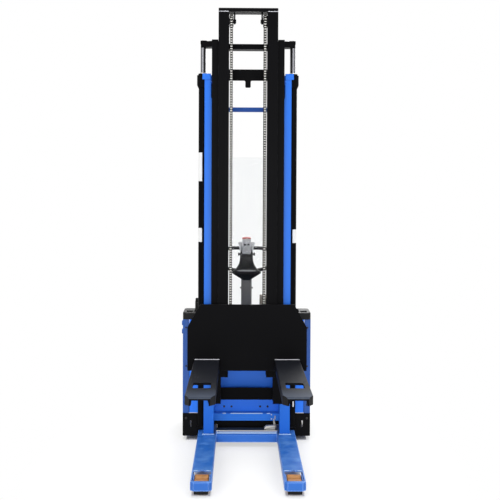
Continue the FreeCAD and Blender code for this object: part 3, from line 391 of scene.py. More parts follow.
def chain_finish():
    """Leaf chain: links with a painted highlight at the pins, and a painted shade in the
    waists between them and on the outer plates.
    """
    look = Finish("chain_steel", Metallic=0.2, Specular_IOR_Level=0.2)
    waist_shade = add_node(look.tree, "Attribute", attribute_name="waist_shade").outputs["Fac"]
    grime = look.noise(220.0)
    depth = math_node(look.tree, "ADD", waist_shade, look.times(grime, 0.25))
    shaded_waist = ramp(look.tree, depth, 0.35, 0.6)
    return look.surface(look.mix(shaded_waist, srgb(232, 230, 225), srgb(3, 3, 3)),
                        look.blend(shaded_waist, 0.4, 0.6))


def plate_finish():
    """Galvanised plate: pale on its sides, partly a painted highlight of its front edge, and
    dark blue grey on top as painted shade.
    """
    look = Finish("galvanised", Metallic=0.15)
    shaded_top = look.mask(UPWARD)
    spangle = look.noise(130.0, 4.0)
    clean = look.mix(spangle, srgb(196, 194, 188), srgb(226, 224, 218))
    return look.surface(look.mix(shaded_top, clean, srgb(40, 50, 62)), look.blend(spangle, 0.36, 0.55))


def weld_finish():
    """Bare steel bead, light grey as a painted highlight along it, with heat tint."""
    look = Finish("heel_weld", Metallic=0.6)
    tint = look.noise(60.0)
    return look.surface(look.mix(tint, srgb(150, 150, 156), srgb(196, 197, 204)),
                        look.blend(tint, 0.28, 0.5))


def clear_finish():
    """Clear guard sheet: thin, a little grey, with faint hazing."""
    look = Finish("guard_sheet", Transmission_Weight=1.0, IOR=1.06)
    haze = look.noise(6.0, 4.0)
    return look.surface(look.mix(haze, srgb(243, 245, 246), srgb(249, 250, 250)), 0.04)


materials = dict((
    paint("blue_paint", srgb(20, 104, 204), 0.38, shine=0.45, low_highlight=0.011),
    paint("blue_frame", srgb(16, 100, 206), 0.42, wear_and_highlight=0.2, shine=0.25),
    # Darker than blue_paint as a painted shade on the leg fronts, with a painted top light
    paint("blue_leg", srgb(19, 95, 184), 0.38, dust=0.6, shine=0.45, low_highlight=0.011,
          dust_and_top_light=srgb(104, 156, 218)),
    # Lighter than blue_paint as painted light low down, darker higher up as painted shade
    paint("blue_tie", srgb(38, 122, 234), 0.42, wear_and_highlight=0.2, shine=0.2, high_shade=srgb(6, 66, 146)),
    # Pale blue of the strips and beads that paint highlights along edges
    paint("blue_highlight", srgb(176, 206, 240), 0.35),
    # Lighter than blue_paint: painted light on the panel, which lies in the carriage's shade
    paint("blue_panel", srgb(24, 120, 246), 0.42, wear_and_highlight=0.2, shine=0.3),
    paint("blue_cover", srgb(26, 80, 158), 0.36, edge_radius=0.004, shine=0.35),
    paint("black_paint", srgb(9, 9, 11), 0.42, BLACK_EDGE, 0.3, 0.003, 0.4, 0.04, 0.03),
    paint("frame_black", srgb(7, 7, 9), 0.5, BLACK_EDGE, 0.3, shine=0.06),
    paint("motor_cast", srgb(26, 26, 28), 0.5, srgb(80, 80, 80), 0.4, shine=0.3),
    steel("chrome_rod", srgb(118, 118, 122), 0.24, (1.0, 1.0, 0.05), 200.0),
    steel("bare_steel", srgb(160, 160, 160), 0.32, (1.0, 1.0, 0.1)),
    steel("dark_steel", srgb(58, 57, 57), 0.36, (1.0, 1.0, 1.0), 80.0),
    steel("zinc", srgb(172, 173, 175), 0.34, (1.0, 1.0, 1.0), 60.0),
    steel("pale_plate", srgb(204, 202, 196), 0.42, (0.1, 1.0, 1.0), 60.0, 0.15, 0.002),
    plastic("black_plastic", srgb(15, 15, 16), 0.48, dust=0.05, shine=0.16,
            rubbed_and_highlit=srgb(70, 70, 72)),
    plastic("dark_plastic", srgb(20, 20, 22), 0.4, shine=0.3),
    # Light grey that paints a reflection along the head's front rim
    plastic("reflection_plastic", srgb(112, 112, 115), 0.42),
    # Its lighter edges are a painted reflection
    plastic("head_plastic", srgb(14, 14, 16), 0.34, shine=0.25, rubbed_and_highlit=srgb(74, 74, 77)),
    plastic("collar_plastic", srgb(50, 50, 50), 0.45, shine=0.2),
    plastic("grey_plastic", srgb(176, 176, 178), 0.45, dust=0.05),
    plastic("grey_box", srgb(150, 141, 132), 0.5, dust=0.15),
    plastic("grey_arm", srgb(100, 99, 96), 0.48, shine=0.3, rubbed_and_highlit=srgb(54, 54, 54)),
    plastic("battery", srgb(26, 26, 27), 0.6, dust=0.15),
    plastic("red_button", srgb(168, 92, 88), 0.4),
    plastic("label", srgb(214, 214, 212), 0.5, grain=0.0),
    tread_finish("roller_tread", srgb(168, 112, 50), srgb(138, 94, 46)),
    tread_finish("drive_tread", srgb(120, 84, 40), srgb(70, 60, 48)),
    chain_finish(),
    fork_finish(),
    weld_finish(),
    plate_finish(),
    clear_finish(),
))

SIDES = ("left", "right")
ENDS = ("front", "back")

# Solids that show as they are, by finish
FINISH_NODES = {
    "blue_frame": ("base_frame", "outer_mast_channels"),
    "blue_leg": ("leg_right", "leg_left"),
    "blue_paint": ("cross_member",),
    "blue_tie": ("outer_mast_ties",),
    "blue_panel": ("front_bulkhead",),
    "blue_cover": ("side_covers", "rear_hood"),
    "black_paint": ("cylinder_barrels", "mid_mast_channels", "mid_mast_ties",
                    "inner_mast_channels", "inner_mast_ties", "backrest_plate",
                    "carriage_frame"),
    "frame_black": ("skirts",),
    "black_plastic": ("top_tray", "document_bin", "bumper", "tiller_head"),
    "grey_plastic": ("tiller_controls",),
    "grey_box": ("meter_box",),
    "grey_arm": ("tiller_arm",),
    "battery": ("battery_block",),
    "bare_steel": ("leg_axles", "carriage_rollers"),
    "dark_steel": ("chain_pulleys",),
    "chrome_rod": ("lift_rods",),
    "chain_steel": ("lift_chains",),
    "motor_cast": ("drive_unit", "steering_column"),
    "fork_paint": ("fork_right", "fork_left"),
    "galvanised": ("gap_plate",),
    "zinc": [f"caster_fork_{side}" for side in SIDES],
    "drive_tread": ("drive_wheel",),
    "roller_tread": [f"caster_wheel_{side}" for side in SIDES]
                    + [f"load_roller_{side}_{end}" for side in SIDES for end in ENDS],
    "guard_sheet": ("mast_guard",),
}
for finish, names in FINISH_NODES.items():
    for name in names:
        mesh = nodes[name].data
        mesh.materials.clear()
        mesh.materials.append(materials[finish])


# Mesh helpers

class Span:
    """A node's box by side: left, right, front, back, low and top."""

    def __init__(self, node):
        low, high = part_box(node)
        self.left, self.front, self.low = low
        self.right, self.back, self.top = high
        self.middle = (Vector(low) + Vector(high)) / 2


def bridge(work, rings):
    """Faces between rings of points. A ring of one point closes the shape."""
    for low, high in zip(rings, rings[1:]):
        count = max(len(low), len(high))
        for step in range(count):
            after = (step + 1) % count
            corners = (low[step % len(low)], low[after % len(low)],
                       high[after % len(high)], high[step % len(high)])
            work.faces.new(list(dict.fromkeys(corners)))


def lathe(profile, segments=24):
    """Turned mesh about Z. Rows of the profile are (radius, height), from bottom to top."""
    work = bmesh.new()
    rings = []
    for radius, height in profile:
        angles = [math.tau * step / segments for step in range(segments if radius else 1)]
        rings.append([work.verts.new((radius * math.cos(angle), radius * math.sin(angle), height))
                      for angle in angles])
    bridge(work, rings)
    return finished(work, "turned")


def finished(work, name):
    """Plain mesh with its normals outwards."""
    bmesh.ops.remove_doubles(work, verts=work.verts, dist=1e-6)
    bmesh.ops.recalc_face_normals(work, faces=work.faces)
    mesh = bpy.data.meshes.new(name)
    work.to_mesh(mesh)
    work.free()
    return mesh


def bevelled(work, edges, offset, steps):
    bmesh.ops.bevel(work, geom=edges, offset=offset, segments=steps, profile=0.6,
                    affect="EDGES")


def block(size, centre, bevel, steps=2):
    """Box with rounded edges."""
    work = bmesh.new()
    bmesh.ops.create_cube(work, size=1.0)
    for vert in work.verts:
        vert.co = Vector(a * b for a, b in zip(vert.co, size)) + Vector(centre)
    bevelled(work, work.edges[:], bevel, steps)
    return finished(work, "block")


def sheet_metal(outline, depth, bevel=0.0, steps=1):
    """Outline in X and Z, with its thickness along Y and its edges bevelled."""
    work = bmesh.new()
    front = [work.verts.new((x, -depth / 2, z)) for x, z in outline]
    back = [work.verts.new((x, depth / 2, z)) for x, z in outline]
    work.faces.new(front)
    work.faces.new(back[::-1])
    bridge(work, (front, back))
    bmesh.ops.recalc_face_normals(work, faces=work.faces)
    if bevel:
        highlight_strips = [e for e in work.edges if abs(e.verts[0].co.y - e.verts[1].co.y) < 1e-9]
        bevelled(work, highlight_strips, bevel, steps)
    return finished(work, "plate")


def round_outline(corners, steps=5):
    """Outline with rounded corners. Rows are (x, z, radius)."""
    points = []
    count = len(corners)
    for index, (x, z, radius) in enumerate(corners):
        here = Vector((x, z))
        before = Vector(corners[index - 1][:2]) - here
        after = Vector(corners[(index + 1) % count][:2]) - here
        half = before.angle(after) / 2
        reach = radius / math.tan(half)
        start = here + before.normalized() * reach
        end = here + after.normalized() * reach
        for step in range(steps + 1):
            t = step / steps
            points.append(tuple(start * (1 - t) ** 2 + here * 2 * t * (1 - t) + end * t ** 2))
    return points


def rounded_plate(corners, depth, bevel, steps=2):
    """Plate with rounded corners in X and Z. Rows are (x, z, radius)."""
    return sheet_metal(round_outline(corners), depth, bevel, steps)


def placed(mesh, matrix):
    mesh.transform(matrix)
    return mesh


def turned(mesh, degrees, axis, place=(0, 0, 0)):
    """Turns a mesh about an axis and then moves it."""
    return placed(mesh, Matrix.Translation(place)
                  @ Matrix.Rotation(math.radians(degrees), 4, axis))


def moved(mesh, x, y, z):
    return placed(mesh, Matrix.Translation((x, y, z)))


def facing(mesh, direction, place):
    """Turns a mesh made along +Z to a direction and puts it at a place."""
    turn = Vector(direction).to_track_quat("Z", "Y").to_matrix().to_4x4()
    return placed(mesh, Matrix.Translation(Vector(place)) @ turn)


def joined(name, meshes):
    work = bmesh.new()
    for mesh in meshes:
        work.from_mesh(mesh)
        bpy.data.meshes.remove(mesh)
    mesh = bpy.data.meshes.new(name)
    work.to_mesh(mesh)
    work.free()
    return mesh


def shown(name, data):
    """New object in the scene."""
    thing = bpy.data.objects.new(name, data)
    bpy.context.scene.collection.objects.link(thing)
    return thing


def piece(name, mesh, finish, body="chassis", replaced=(), sharp=40.0):
    """A finished part of the machine, in its place, on its body, from one mesh or a list of
    them. Edges past the sharp angle stay sharp, and with none all faces stay flat."""
    if isinstance(mesh, list):
        mesh = joined(name, mesh)
    if sharp:
        mesh.shade_smooth()
        mesh.set_sharp_from_angle(angle=math.radians(sharp))
    mesh.name = name
    mesh.materials.clear()
    mesh.materials.append(materials[finish])
    thing = shown(name, mesh)
    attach(thing, body)
    if replaced:
        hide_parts(*replaced)


# Geometry trees for what repeats

def geometry_tree(name, sizes):
    """Tree of geometry nodes with named inputs (name, kind, default) after its geometry."""
    return node_group(name, [("Geometry", "Geometry", None), *sizes],
                      [("Geometry", "Geometry")], "GeometryNodeTree")


def finish_tree(tree, instances, finish, end):
    """Real meshes from the instances, with their material."""
    real = add_node(tree, "GeometryNodeRealizeInstances", {"Geometry": instances})
    coated = add_node(tree, "GeometryNodeSetMaterial",
                      {"Geometry": real.outputs[0], "Material": finish})
    tree.links.new(coated.outputs[0], end[0])


def build_fastener_tree():
    """One fastener at each point, along the point's facing, turned at random about it."""
    tree, start, end = geometry_tree(
        "fasteners", [("Fastener", "Object", None), ("Size", "Float", 1.0), ("Seed", "Int", 3),
                      ("Finish", "Material", None)])
    info = add_node(tree, "GeometryNodeObjectInfo", {"Object": start["Fastener"]})
    way = add_node(tree, "GeometryNodeInputNamedAttribute", {"Name": "facing"},
                   data_type="FLOAT_VECTOR")
    turn = add_node(tree, "FunctionNodeAlignRotationToVector", {"Vector": way.outputs[0]},
                    axis="Z")
    spin = add_node(tree, "FunctionNodeRandomValue", {"Seed": start["Seed"]}, data_type="FLOAT")
    spin.inputs[3].default_value = math.tau
    about = add_node(tree, "FunctionNodeAxisAngleToRotation", {"Angle": spin.outputs[1]})
    about.inputs["Axis"].default_value = (0.0, 0.0, 1.0)
    whole = add_node(tree, "FunctionNodeRotateRotation",
                     {"Rotation": turn.outputs[0], "Rotate By": about.outputs[0]},
                     rotation_space="LOCAL")
    copies = add_node(tree, "GeometryNodeInstanceOnPoints",
                      {"Points": start["Geometry"], "Instance": info.outputs["Geometry"],
                       "Rotation": whole.outputs[0], "Scale": start["Size"]})
    finish_tree(tree, copies.outputs[0], start["Finish"], end)
    return tree


CHAIN_PITCH = 0.015875


def points_along(tree, path, step):
    """Points at even steps along the edges of a mesh."""
    curve = add_node(tree, "GeometryNodeMeshToCurve", {"Mesh": path})
    return add_node(tree, "GeometryNodeCurveToPoints",
                    {"Curve": curve.outputs[0], "Length": step}, mode="LENGTH").outputs["Points"]


def build_chain_tree():
    """Two leaf chains: wide and narrow links in turn, each laid from one pin to the next."""
    tree, start, end = geometry_tree(
        "chain", [("Wide Link", "Object", None), ("Narrow Link", "Object", None),
                  ("Pitch", "Float", CHAIN_PITCH), ("Spacing", "Float", 0.2),
                  ("Finish", "Material", None)])
    points = points_along(tree, start["Geometry"], start["Pitch"])
    place = add_node(tree, "GeometryNodeInputPosition").outputs[0]
    number = add_node(tree, "GeometryNodeInputIndex").outputs[0]
    count = add_node(tree, "GeometryNodeAttributeDomainSize", {"Geometry": points},
                     component="POINTCLOUD").outputs["Point Count"]
    next_pin = add_node(tree, "GeometryNodeFieldAtIndex", data_type="FLOAT_VECTOR")
    value = [socket for socket in next_pin.inputs if socket.enabled and socket.name == "Value"][0]
    tree.links.new(place, value)
    tree.links.new(math_node(tree, "ADD", number, 1.0), next_pin.inputs["Index"])
    ahead = [socket for socket in next_pin.outputs if socket.enabled][0]
    way = add_node(tree, "VectorMath", operation="SUBTRACT")
    tree.links.new(ahead, way.inputs[0])
    tree.links.new(place, way.inputs[1])
    turn = add_node(tree, "FunctionNodeAlignRotationToVector", {"Vector": way.outputs[0]},
                    axis="Z", pivot_axis="X")
    inside = math_node(tree, "LESS_THAN", number, math_node(tree, "SUBTRACT", count, 1.0))
    odd = math_node(tree, "MODULO", number, 2.0)
    even = math_node(tree, "SUBTRACT", 1.0, odd)
    one = add_node(tree, "GeometryNodeJoinGeometry")
    for link, chosen in (("Wide Link", even), ("Narrow Link", odd)):
        info = add_node(tree, "GeometryNodeObjectInfo", {"Object": start[link]})
        copies = add_node(tree, "GeometryNodeInstanceOnPoints",
                          {"Points": points, "Instance": info.outputs["Geometry"],
                           "Selection": product(tree, chosen, inside),
                           "Rotation": turn.outputs[0]})
        tree.links.new(copies.outputs[0], one.inputs[0])
    shift = add_node(tree, "CombineXYZ", {"X": product(tree, start["Spacing"], -1.0)})
    other = add_node(tree, "GeometryNodeTransform",
                     {"Geometry": one.outputs[0], "Translation": shift.outputs[0]})
    both = add_node(tree, "GeometryNodeJoinGeometry")
    tree.links.new(one.outputs[0], both.inputs[0])
    tree.links.new(other.outputs[0], both.inputs[0])
    finish_tree(tree, both.outputs[0], start["Finish"], end)
    return tree


def build_weld_tree():
    """Weld ripples laid along a path."""
    tree, start, end = geometry_tree(
        "weld", [("Step", "Float", 0.003), ("Radius", "Float", 0.003), ("Seed", "Int", 5),
                 ("Finish", "Material", None)])
    points = points_along(tree, start["Geometry"], start["Step"])
    ripple = add_node(tree, "GeometryNodeMeshUVSphere",
                      {"Segments": 8, "Rings": 5, "Radius": start["Radius"]})
    size = add_node(tree, "FunctionNodeRandomValue", {"Seed": start["Seed"]}, data_type="FLOAT")
    size.inputs[2].default_value = 0.85
    size.inputs[3].default_value = 1.15
    copies = add_node(tree, "GeometryNodeInstanceOnPoints",
                      {"Points": points, "Instance": ripple.outputs[0],
                       "Scale": size.outputs[1]})
    finish_tree(tree, copies.outputs[0], start["Finish"], end)
    return tree


FASTENER_TREE = build_fastener_tree()
CHAIN_TREE = build_chain_tree()
WELD_TREE = build_weld_tree()


templates = []


def template(name, mesh):
    """Object that a tree copies. It is removed once the pieces are made."""
    templates.append(shown(name, mesh))
    return templates[-1]


def grown(name, source, tree, values):
    """Runs a tree on a mesh and returns the result as a plain mesh."""
    seed = shown(name + "_seed", source)
    modifier = seed.modifiers.new("grow", "NODES")
    modifier.node_group = tree
    for item in tree.interface.items_tree:
        if item.item_type == "SOCKET" and item.in_out == "INPUT" and item.name in values:
            modifier[item.identifier] = values[item.name]
    depsgraph = bpy.context.evaluated_depsgraph_get()
    mesh = bpy.data.meshes.new_from_object(seed.evaluated_get(depsgraph), depsgraph=depsgraph)
    seed.modifiers.remove(modifier)
    bpy.data.objects.remove(seed)
    bpy.data.meshes.remove(source)
    return mesh


def point_mesh(rows):
    """Points with a facing. Rows are (place, facing)."""
    mesh = bpy.data.meshes.new("points")
    mesh.from_pydata([tuple(place) for place, way in rows], [], [])
    facing_rows = mesh.attributes.new("facing", "FLOAT_VECTOR", "POINT")
    for entry, (place, way) in zip(facing_rows.data, rows):
        entry.vector = way
    return mesh


def path_mesh(paths):
    """Polylines as edges only."""
    places = []
    edges = []
    for path in paths:
        first = len(places)
        places += [tuple(place) for place in path]
        edges += [(first + step, first + step + 1) for step in range(len(path) - 1)]
    mesh = bpy.data.meshes.new("path")
    mesh.from_pydata(places, edges, [])
    return mesh


def fasteners(name, kind, rows, finish, body="chassis", size=1.0):
    """Fasteners of one kind. Rows are (place, facing)."""
    mesh = grown(name, point_mesh(rows), FASTENER_TREE,
                 {"Fastener": kind, "Size": size, "Finish": materials[finish]})
    piece(name, mesh, finish, body, sharp=35.0)


def welds(name, paths, finish, body, radius):
    """Beads of weld along paths."""
    mesh = grown(name, path_mesh(paths), WELD_TREE,
                 {"Step": radius * 1.1, "Radius": radius, "Finish": materials[finish]})
    piece(name, mesh, finish, body, sharp=80.0)


# Fasteners, made along +Z with the seat at zero

def hex_bolt(across, height):
    """Hex head on a washer."""
    washer = lathe([(0, 0), (across * 0.62, 0), (across * 0.62, height * 0.14),
                    (across * 0.6, height * 0.2), (0, height * 0.2)], 20)
    head = lathe([(0, height * 0.2), (across * 0.56, height * 0.2), (across * 0.56, height * 0.9),
                  (across * 0.48, height), (0, height)], 6)
    return joined("hex_bolt", [washer, head])


def socket_screw(radius, height):
    """Round head with a driven socket."""
    return lathe([(0, 0), (radius, 0), (radius, height * 0.55), (radius * 0.82, height),
                  (radius * 0.42, height), (radius * 0.4, height * 0.4), (0, height * 0.35)], 18)


FRONT = (0.0, -1.0, 0.0)
BACK = (0.0, 1.0, 0.0)
HEX_BOLT = template("hex_bolt", hex_bolt(0.017, 0.009))
SOCKET_SCREW = template("socket_screw", socket_screw(0.006, 0.0035))


# Lift chains

LINK_HEIGHT = 0.015
LINK_PLATE = 0.0023
PIN_RADIUS = 0.0026


def leaf_link(name, plates, pin_length=0.0):
    """Figure-eight plates side by side, from one pin along +Z to the next. The waist_shade value
    is 0 at the bulges, painted as highlight, and 1 in the waists and outer plates, painted as
    shade."""
    pitch, height = CHAIN_PITCH, LINK_HEIGHT
    waist = height * 0.3
    outline = []
    for centre, first in ((pitch, 0.0), (0.0, math.pi)):
        for step in range(6):
            angle = first + math.pi * step / 5
            outline.append((height / 2 * math.cos(angle), centre + height / 2 * math.sin(angle)))
        outline.append((-waist if first == 0.0 else waist, pitch / 2))
    meshes = [turned(sheet_metal(outline, LINK_PLATE), 90, "Z", (x, 0, 0)) for x in plates]
    for z in (0.0, pitch) if pin_length else ():
        pin = lathe([(0, -pin_length / 2), (PIN_RADIUS, -pin_length / 2),
                     (PIN_RADIUS, pin_length / 2), (0, pin_length / 2)], 8)
        meshes.append(facing(pin, (1, 0, 0), (0, 0, z)))
    mesh = joined(name, meshes)
    # Painted highlight near the pins, painted shade away from them and on the outer plates
    rubbed_and_highlit, fade = 0.0019, 0.0014
    inner, edge = 0.0062, 0.0008
    waist_shade = mesh.attributes.new("waist_shade", "FLOAT", "POINT")
    for entry, vert in zip(waist_shade.data, mesh.vertices):
        off = min(abs(vert.co.z), abs(vert.co.z - pitch))
        beside = max(0.0, abs(vert.co.x) - inner) / edge
        entry.value = min(1.0, max(0.0, (off - rubbed_and_highlit) / fade) + beside)
    return mesh


def build_chains():
    """Two leaf chains: up in front, over the pulleys, and down behind."""
    chains = Span("lift_chains")
    _, y, z = Span("chain_pulleys").middle
    x = chains.right - 0.01
    front_end = chains.low + LINK_HEIGHT / 2
    back_end = front_end + 0.11
    radius = y - chains.front - LINK_HEIGHT / 2
    wide = leaf_link("wide_link", (-0.0075, -0.0025, 0.0025, 0.0075), 0.0192)
    wide = template("wide_link", wide)
    narrow = template("narrow_link", leaf_link("narrow_link", (-0.005, 0.0, 0.005)))
    path = [(x, y - radius, front_end)]
    for step in range(25):
        angle = math.pi * (1 - step / 24)
        path.append((x, y + radius * math.cos(angle), z + radius * math.sin(angle)))
    path.append((x, y + radius, back_end))
    mesh = grown("leaf_chains", path_mesh([path]), CHAIN_TREE,
                 {"Wide Link": wide, "Narrow Link": narrow, "Pitch": CHAIN_PITCH,
                  "Spacing": 2 * x, "Finish": materials["chain_steel"]})
    piece("leaf_chains", mesh, "chain_steel", "inner_stage", ("lift_chains",), 50.0)


# Mast details

def build_mast_fasteners():
    """Screws of the panel and the guard, and bolts of the ties."""
    panel = Span("front_bulkhead")
    rows = [((x, panel.back - 0.003, panel.low + 0.045), FRONT)
            for x in (-0.15, -0.101, 0.092, 0.142)]
    fasteners("panel_screws", SOCKET_SCREW, rows, "dark_steel", size=1.15)
    guard = Span("mast_guard")
    spacing = (guard.top - guard.low - 0.1) / 4
    rows = [((x, guard.back, guard.low + 0.05 + step * spacing), BACK)
            for x in (guard.left + 0.009, guard.right - 0.009) for step in range(5)]
    fasteners("guard_screws", SOCKET_SCREW, rows, "dark_steel", size=1.3)
    ties = Span("outer_mast_ties")
    rows = [((x, y, z), BACK) for x in (-0.235, 0.235)
            for y, z in ((ties.front + 0.014, ties.top - 0.015), (ties.back, ties.low + 0.04))]
    fasteners("tie_bolts", HEX_BOLT, rows, "zinc", size=0.9)


def build_welds():
    """Beads at the forks' heels, the legs and the head of the mast, the pale ones painted as
    highlights, and pale strips that paint highlights along edges.
    """
    plate = Span("backrest_plate")
    heel_z = plate.low + 0.072
    rows = [[(fork.left + 0.004, plate.front, heel_z), (fork.right - 0.004, plate.front, heel_z)]
            for fork in (Span("fork_right"), Span("fork_left"))]
    welds("heel_welds", rows, "heel_weld", "carriage", 0.0042)
    legs = Span("leg_right")
    cross = Span("cross_member")
    rows = []
    for x in (-legs.left, legs.left):
        rows.append([(x, cross.front + 0.004, 0.04), (x, cross.front + 0.001, legs.top - 0.006)])
        rows.append([(x, cross.front + 0.018, cross.top), (x, cross.back, cross.top)])
    welds("frame_welds", rows, "blue_paint", "chassis", 0.0028)
    # Pale beads at the foot of the outer channels: painted highlights
    outer = Span("outer_mast_channels")
    rows = [[(side * x, outer.front - 0.001, legs.top + 0.001) for x in (0.214, 0.288)]
            for side in (-1, 1)]
    welds("foot_welds", rows, "blue_highlight", "chassis", 0.0036)
    ties = Span("outer_mast_ties")
    # Pale strips along the cross member, the tie and the pockets' back edges: painted highlights
    highlight_strips = [block((cross.right - cross.left - 0.006, 0.006, 0.008),
                  (0, cross.front + 0.0018, cross.top - 0.0028), 0.002)]
    for low, high in ((-0.16, -0.137), (-0.107, 0.107), (0.134, 0.157)):
        highlight_strips.append(block((high - low, 0.005, 0.006),
                          ((low + high) / 2, ties.front + 0.0015, ties.low + 0.048), 0.0016))
    pocket_back = legs.front + 0.216
    for side in (-1, 1):
        for low, high in ((legs.left + 0.01, 0.236), (0.284, legs.right - 0.01)):
            middle = (side * (low + high) / 2, pocket_back + 0.002, legs.top - 0.0012)
            highlight_strips.append(block((high - low, 0.005, 0.004), middle, 0.0014))
    piece("rolled_rims", highlight_strips, "blue_highlight")
    top = Span("inner_mast_ties")
    rows = [[(side * x, top.front + 0.0005, top.top - 0.023) for x in (0.128, 0.19)]
            for side in (-1, 1)]
    welds("top_welds", rows, "heel_weld", "inner_stage", 0.0026)


def build_rod_heads():
    """Black caps over the lift rods' ends on the yoke, and wiper rings on the cylinders."""
    rods = Span("lift_rods")
    barrels = Span("cylinder_barrels")
    cap = ((0.3145, -0.022, 0.002), (0.3145, 0.0, 0.004), (0.3, 0.0022, 0.01),
           (0.276, 0.0012, 0.004), (0.257, -0.007, 0.004), (0.257, -0.014, 0.002))
    caps = []
    rings = []
    for side in (-1, 1):
        corners = [(side * x, z, radius) for x, z, radius in cap]
        caps.append(moved(rounded_plate(corners, 0.044, 0.004), 0, rods.middle.y, rods.top))
        ring = lathe([(0.0185, -0.001), (0.026, -0.001), (0.026, 0.003), (0.024, 0.005),
                      (0.0185, 0.005), (0.0185, -0.001)], 32)
        rings.append(moved(ring, side * (rods.right - 0.018), rods.middle.y, barrels.top))
    piece("rod_caps", caps, "black_paint", "mid_stage")
    piece("wiper_rings", rings, "bare_steel")


def build_labels():
    """Blank plates on the lift cylinders."""
    rows = (  # side, low end, top, where it starts and ends round the cylinder in degrees
        (-1, 1.737, 1.927, 8, 80), (-1, 1.335, 1.427, 8, 80), (1, 1.33, 1.42, 8, 80),
        (1, 0.236, 0.272, 20, 38),
    )
    barrel_x = 0.296
    outer = 0.0303
    inner = outer - 0.0004
    y = Span("lift_rods").middle.y
    work = bmesh.new()
    for side, low, top, start, end in rows:
        columns = []
        for step in range(9):
            angle = math.radians(start + (end - start) * step / 8)
            across, deep = side * math.sin(angle), -math.cos(angle)
            columns.append([work.verts.new((side * barrel_x + across * r, y + deep * r, z))
                            for r, z in ((inner, low), (outer, low), (outer, top), (inner, top))])
        bridge(work, columns)
        work.faces.new(columns[0])
        work.faces.new(columns[-1][::-1])
    piece("cylinder_labels", finished(work, "labels"), "label", sharp=None)


# Tiller head

def closed_tube(work, rings):
    """Skin over the rings, with a face on the first and the last."""
    bridge(work, rings)
    work.faces.new(rings[0])
    work.faces.new(rings[-1])
    return finished(work, "tube")


def loft(levels, corner_steps=4):
    """Closed shell through rounded rectangles. Rows are (height, half width, front, back,
    corner radius), from top to bottom."""
    work = bmesh.new()
    rings = []
    for z, half, front, back, radius in levels:
        ring = []
        corners = ((half, front, -90), (half, back, 0), (-half, back, 90), (-half, front, 180))
        for x, y, turn in corners:
            x -= math.copysign(radius, x)
            y += radius if y == front else -radius
            for step in range(corner_steps + 1):
                angle = math.radians(turn + 90 * step / corner_steps)
                ring.append(work.verts.new((x + radius * math.cos(angle),
                                            y + radius * math.sin(angle), z)))
        rings.append(ring)
    return closed_tube(work, rings)


def swept(path, y, across, deep, segments=14):
    """Closed oval bar along a path in X and Z."""
    work = bmesh.new()
    points = [Vector(point) for point in path]
    rings = []
    for index, point in enumerate(points):
        way = points[min(index + 1, len(points) - 1)] - points[max(index - 1, 0)]
        side = Vector((-way.y, way.x)).normalized()
        ring = []
        for step in range(segments):
            angle = 2 * math.pi * step / segments
            off = side * (across * math.cos(angle))
            ring.append(work.verts.new((point.x + off.x, y + deep * math.sin(angle),
                                        point.y + off.y)))
        rings.append(ring)
    return closed_tube(work, rings)


def eased(points, steps=5):
    """Catmull-Rom points through a coarse path."""
    rows = [Vector(point) for point in points]
    rows = [rows[0] * 2 - rows[1], *rows, rows[-1] * 2 - rows[-2]]
    result = []
    for a, b, c, d in zip(rows, rows[1:], rows[2:], rows[3:]):
        for step in range(steps):
            t = step / steps
            result.append(((b * 2) + (c - a) * t + (a * 2 - b * 5 + c * 4 - d) * t ** 2
                           + (b * 3 - a - c * 3 + d) * t ** 3) / 2)
    result.append(rows[-2])
    return result


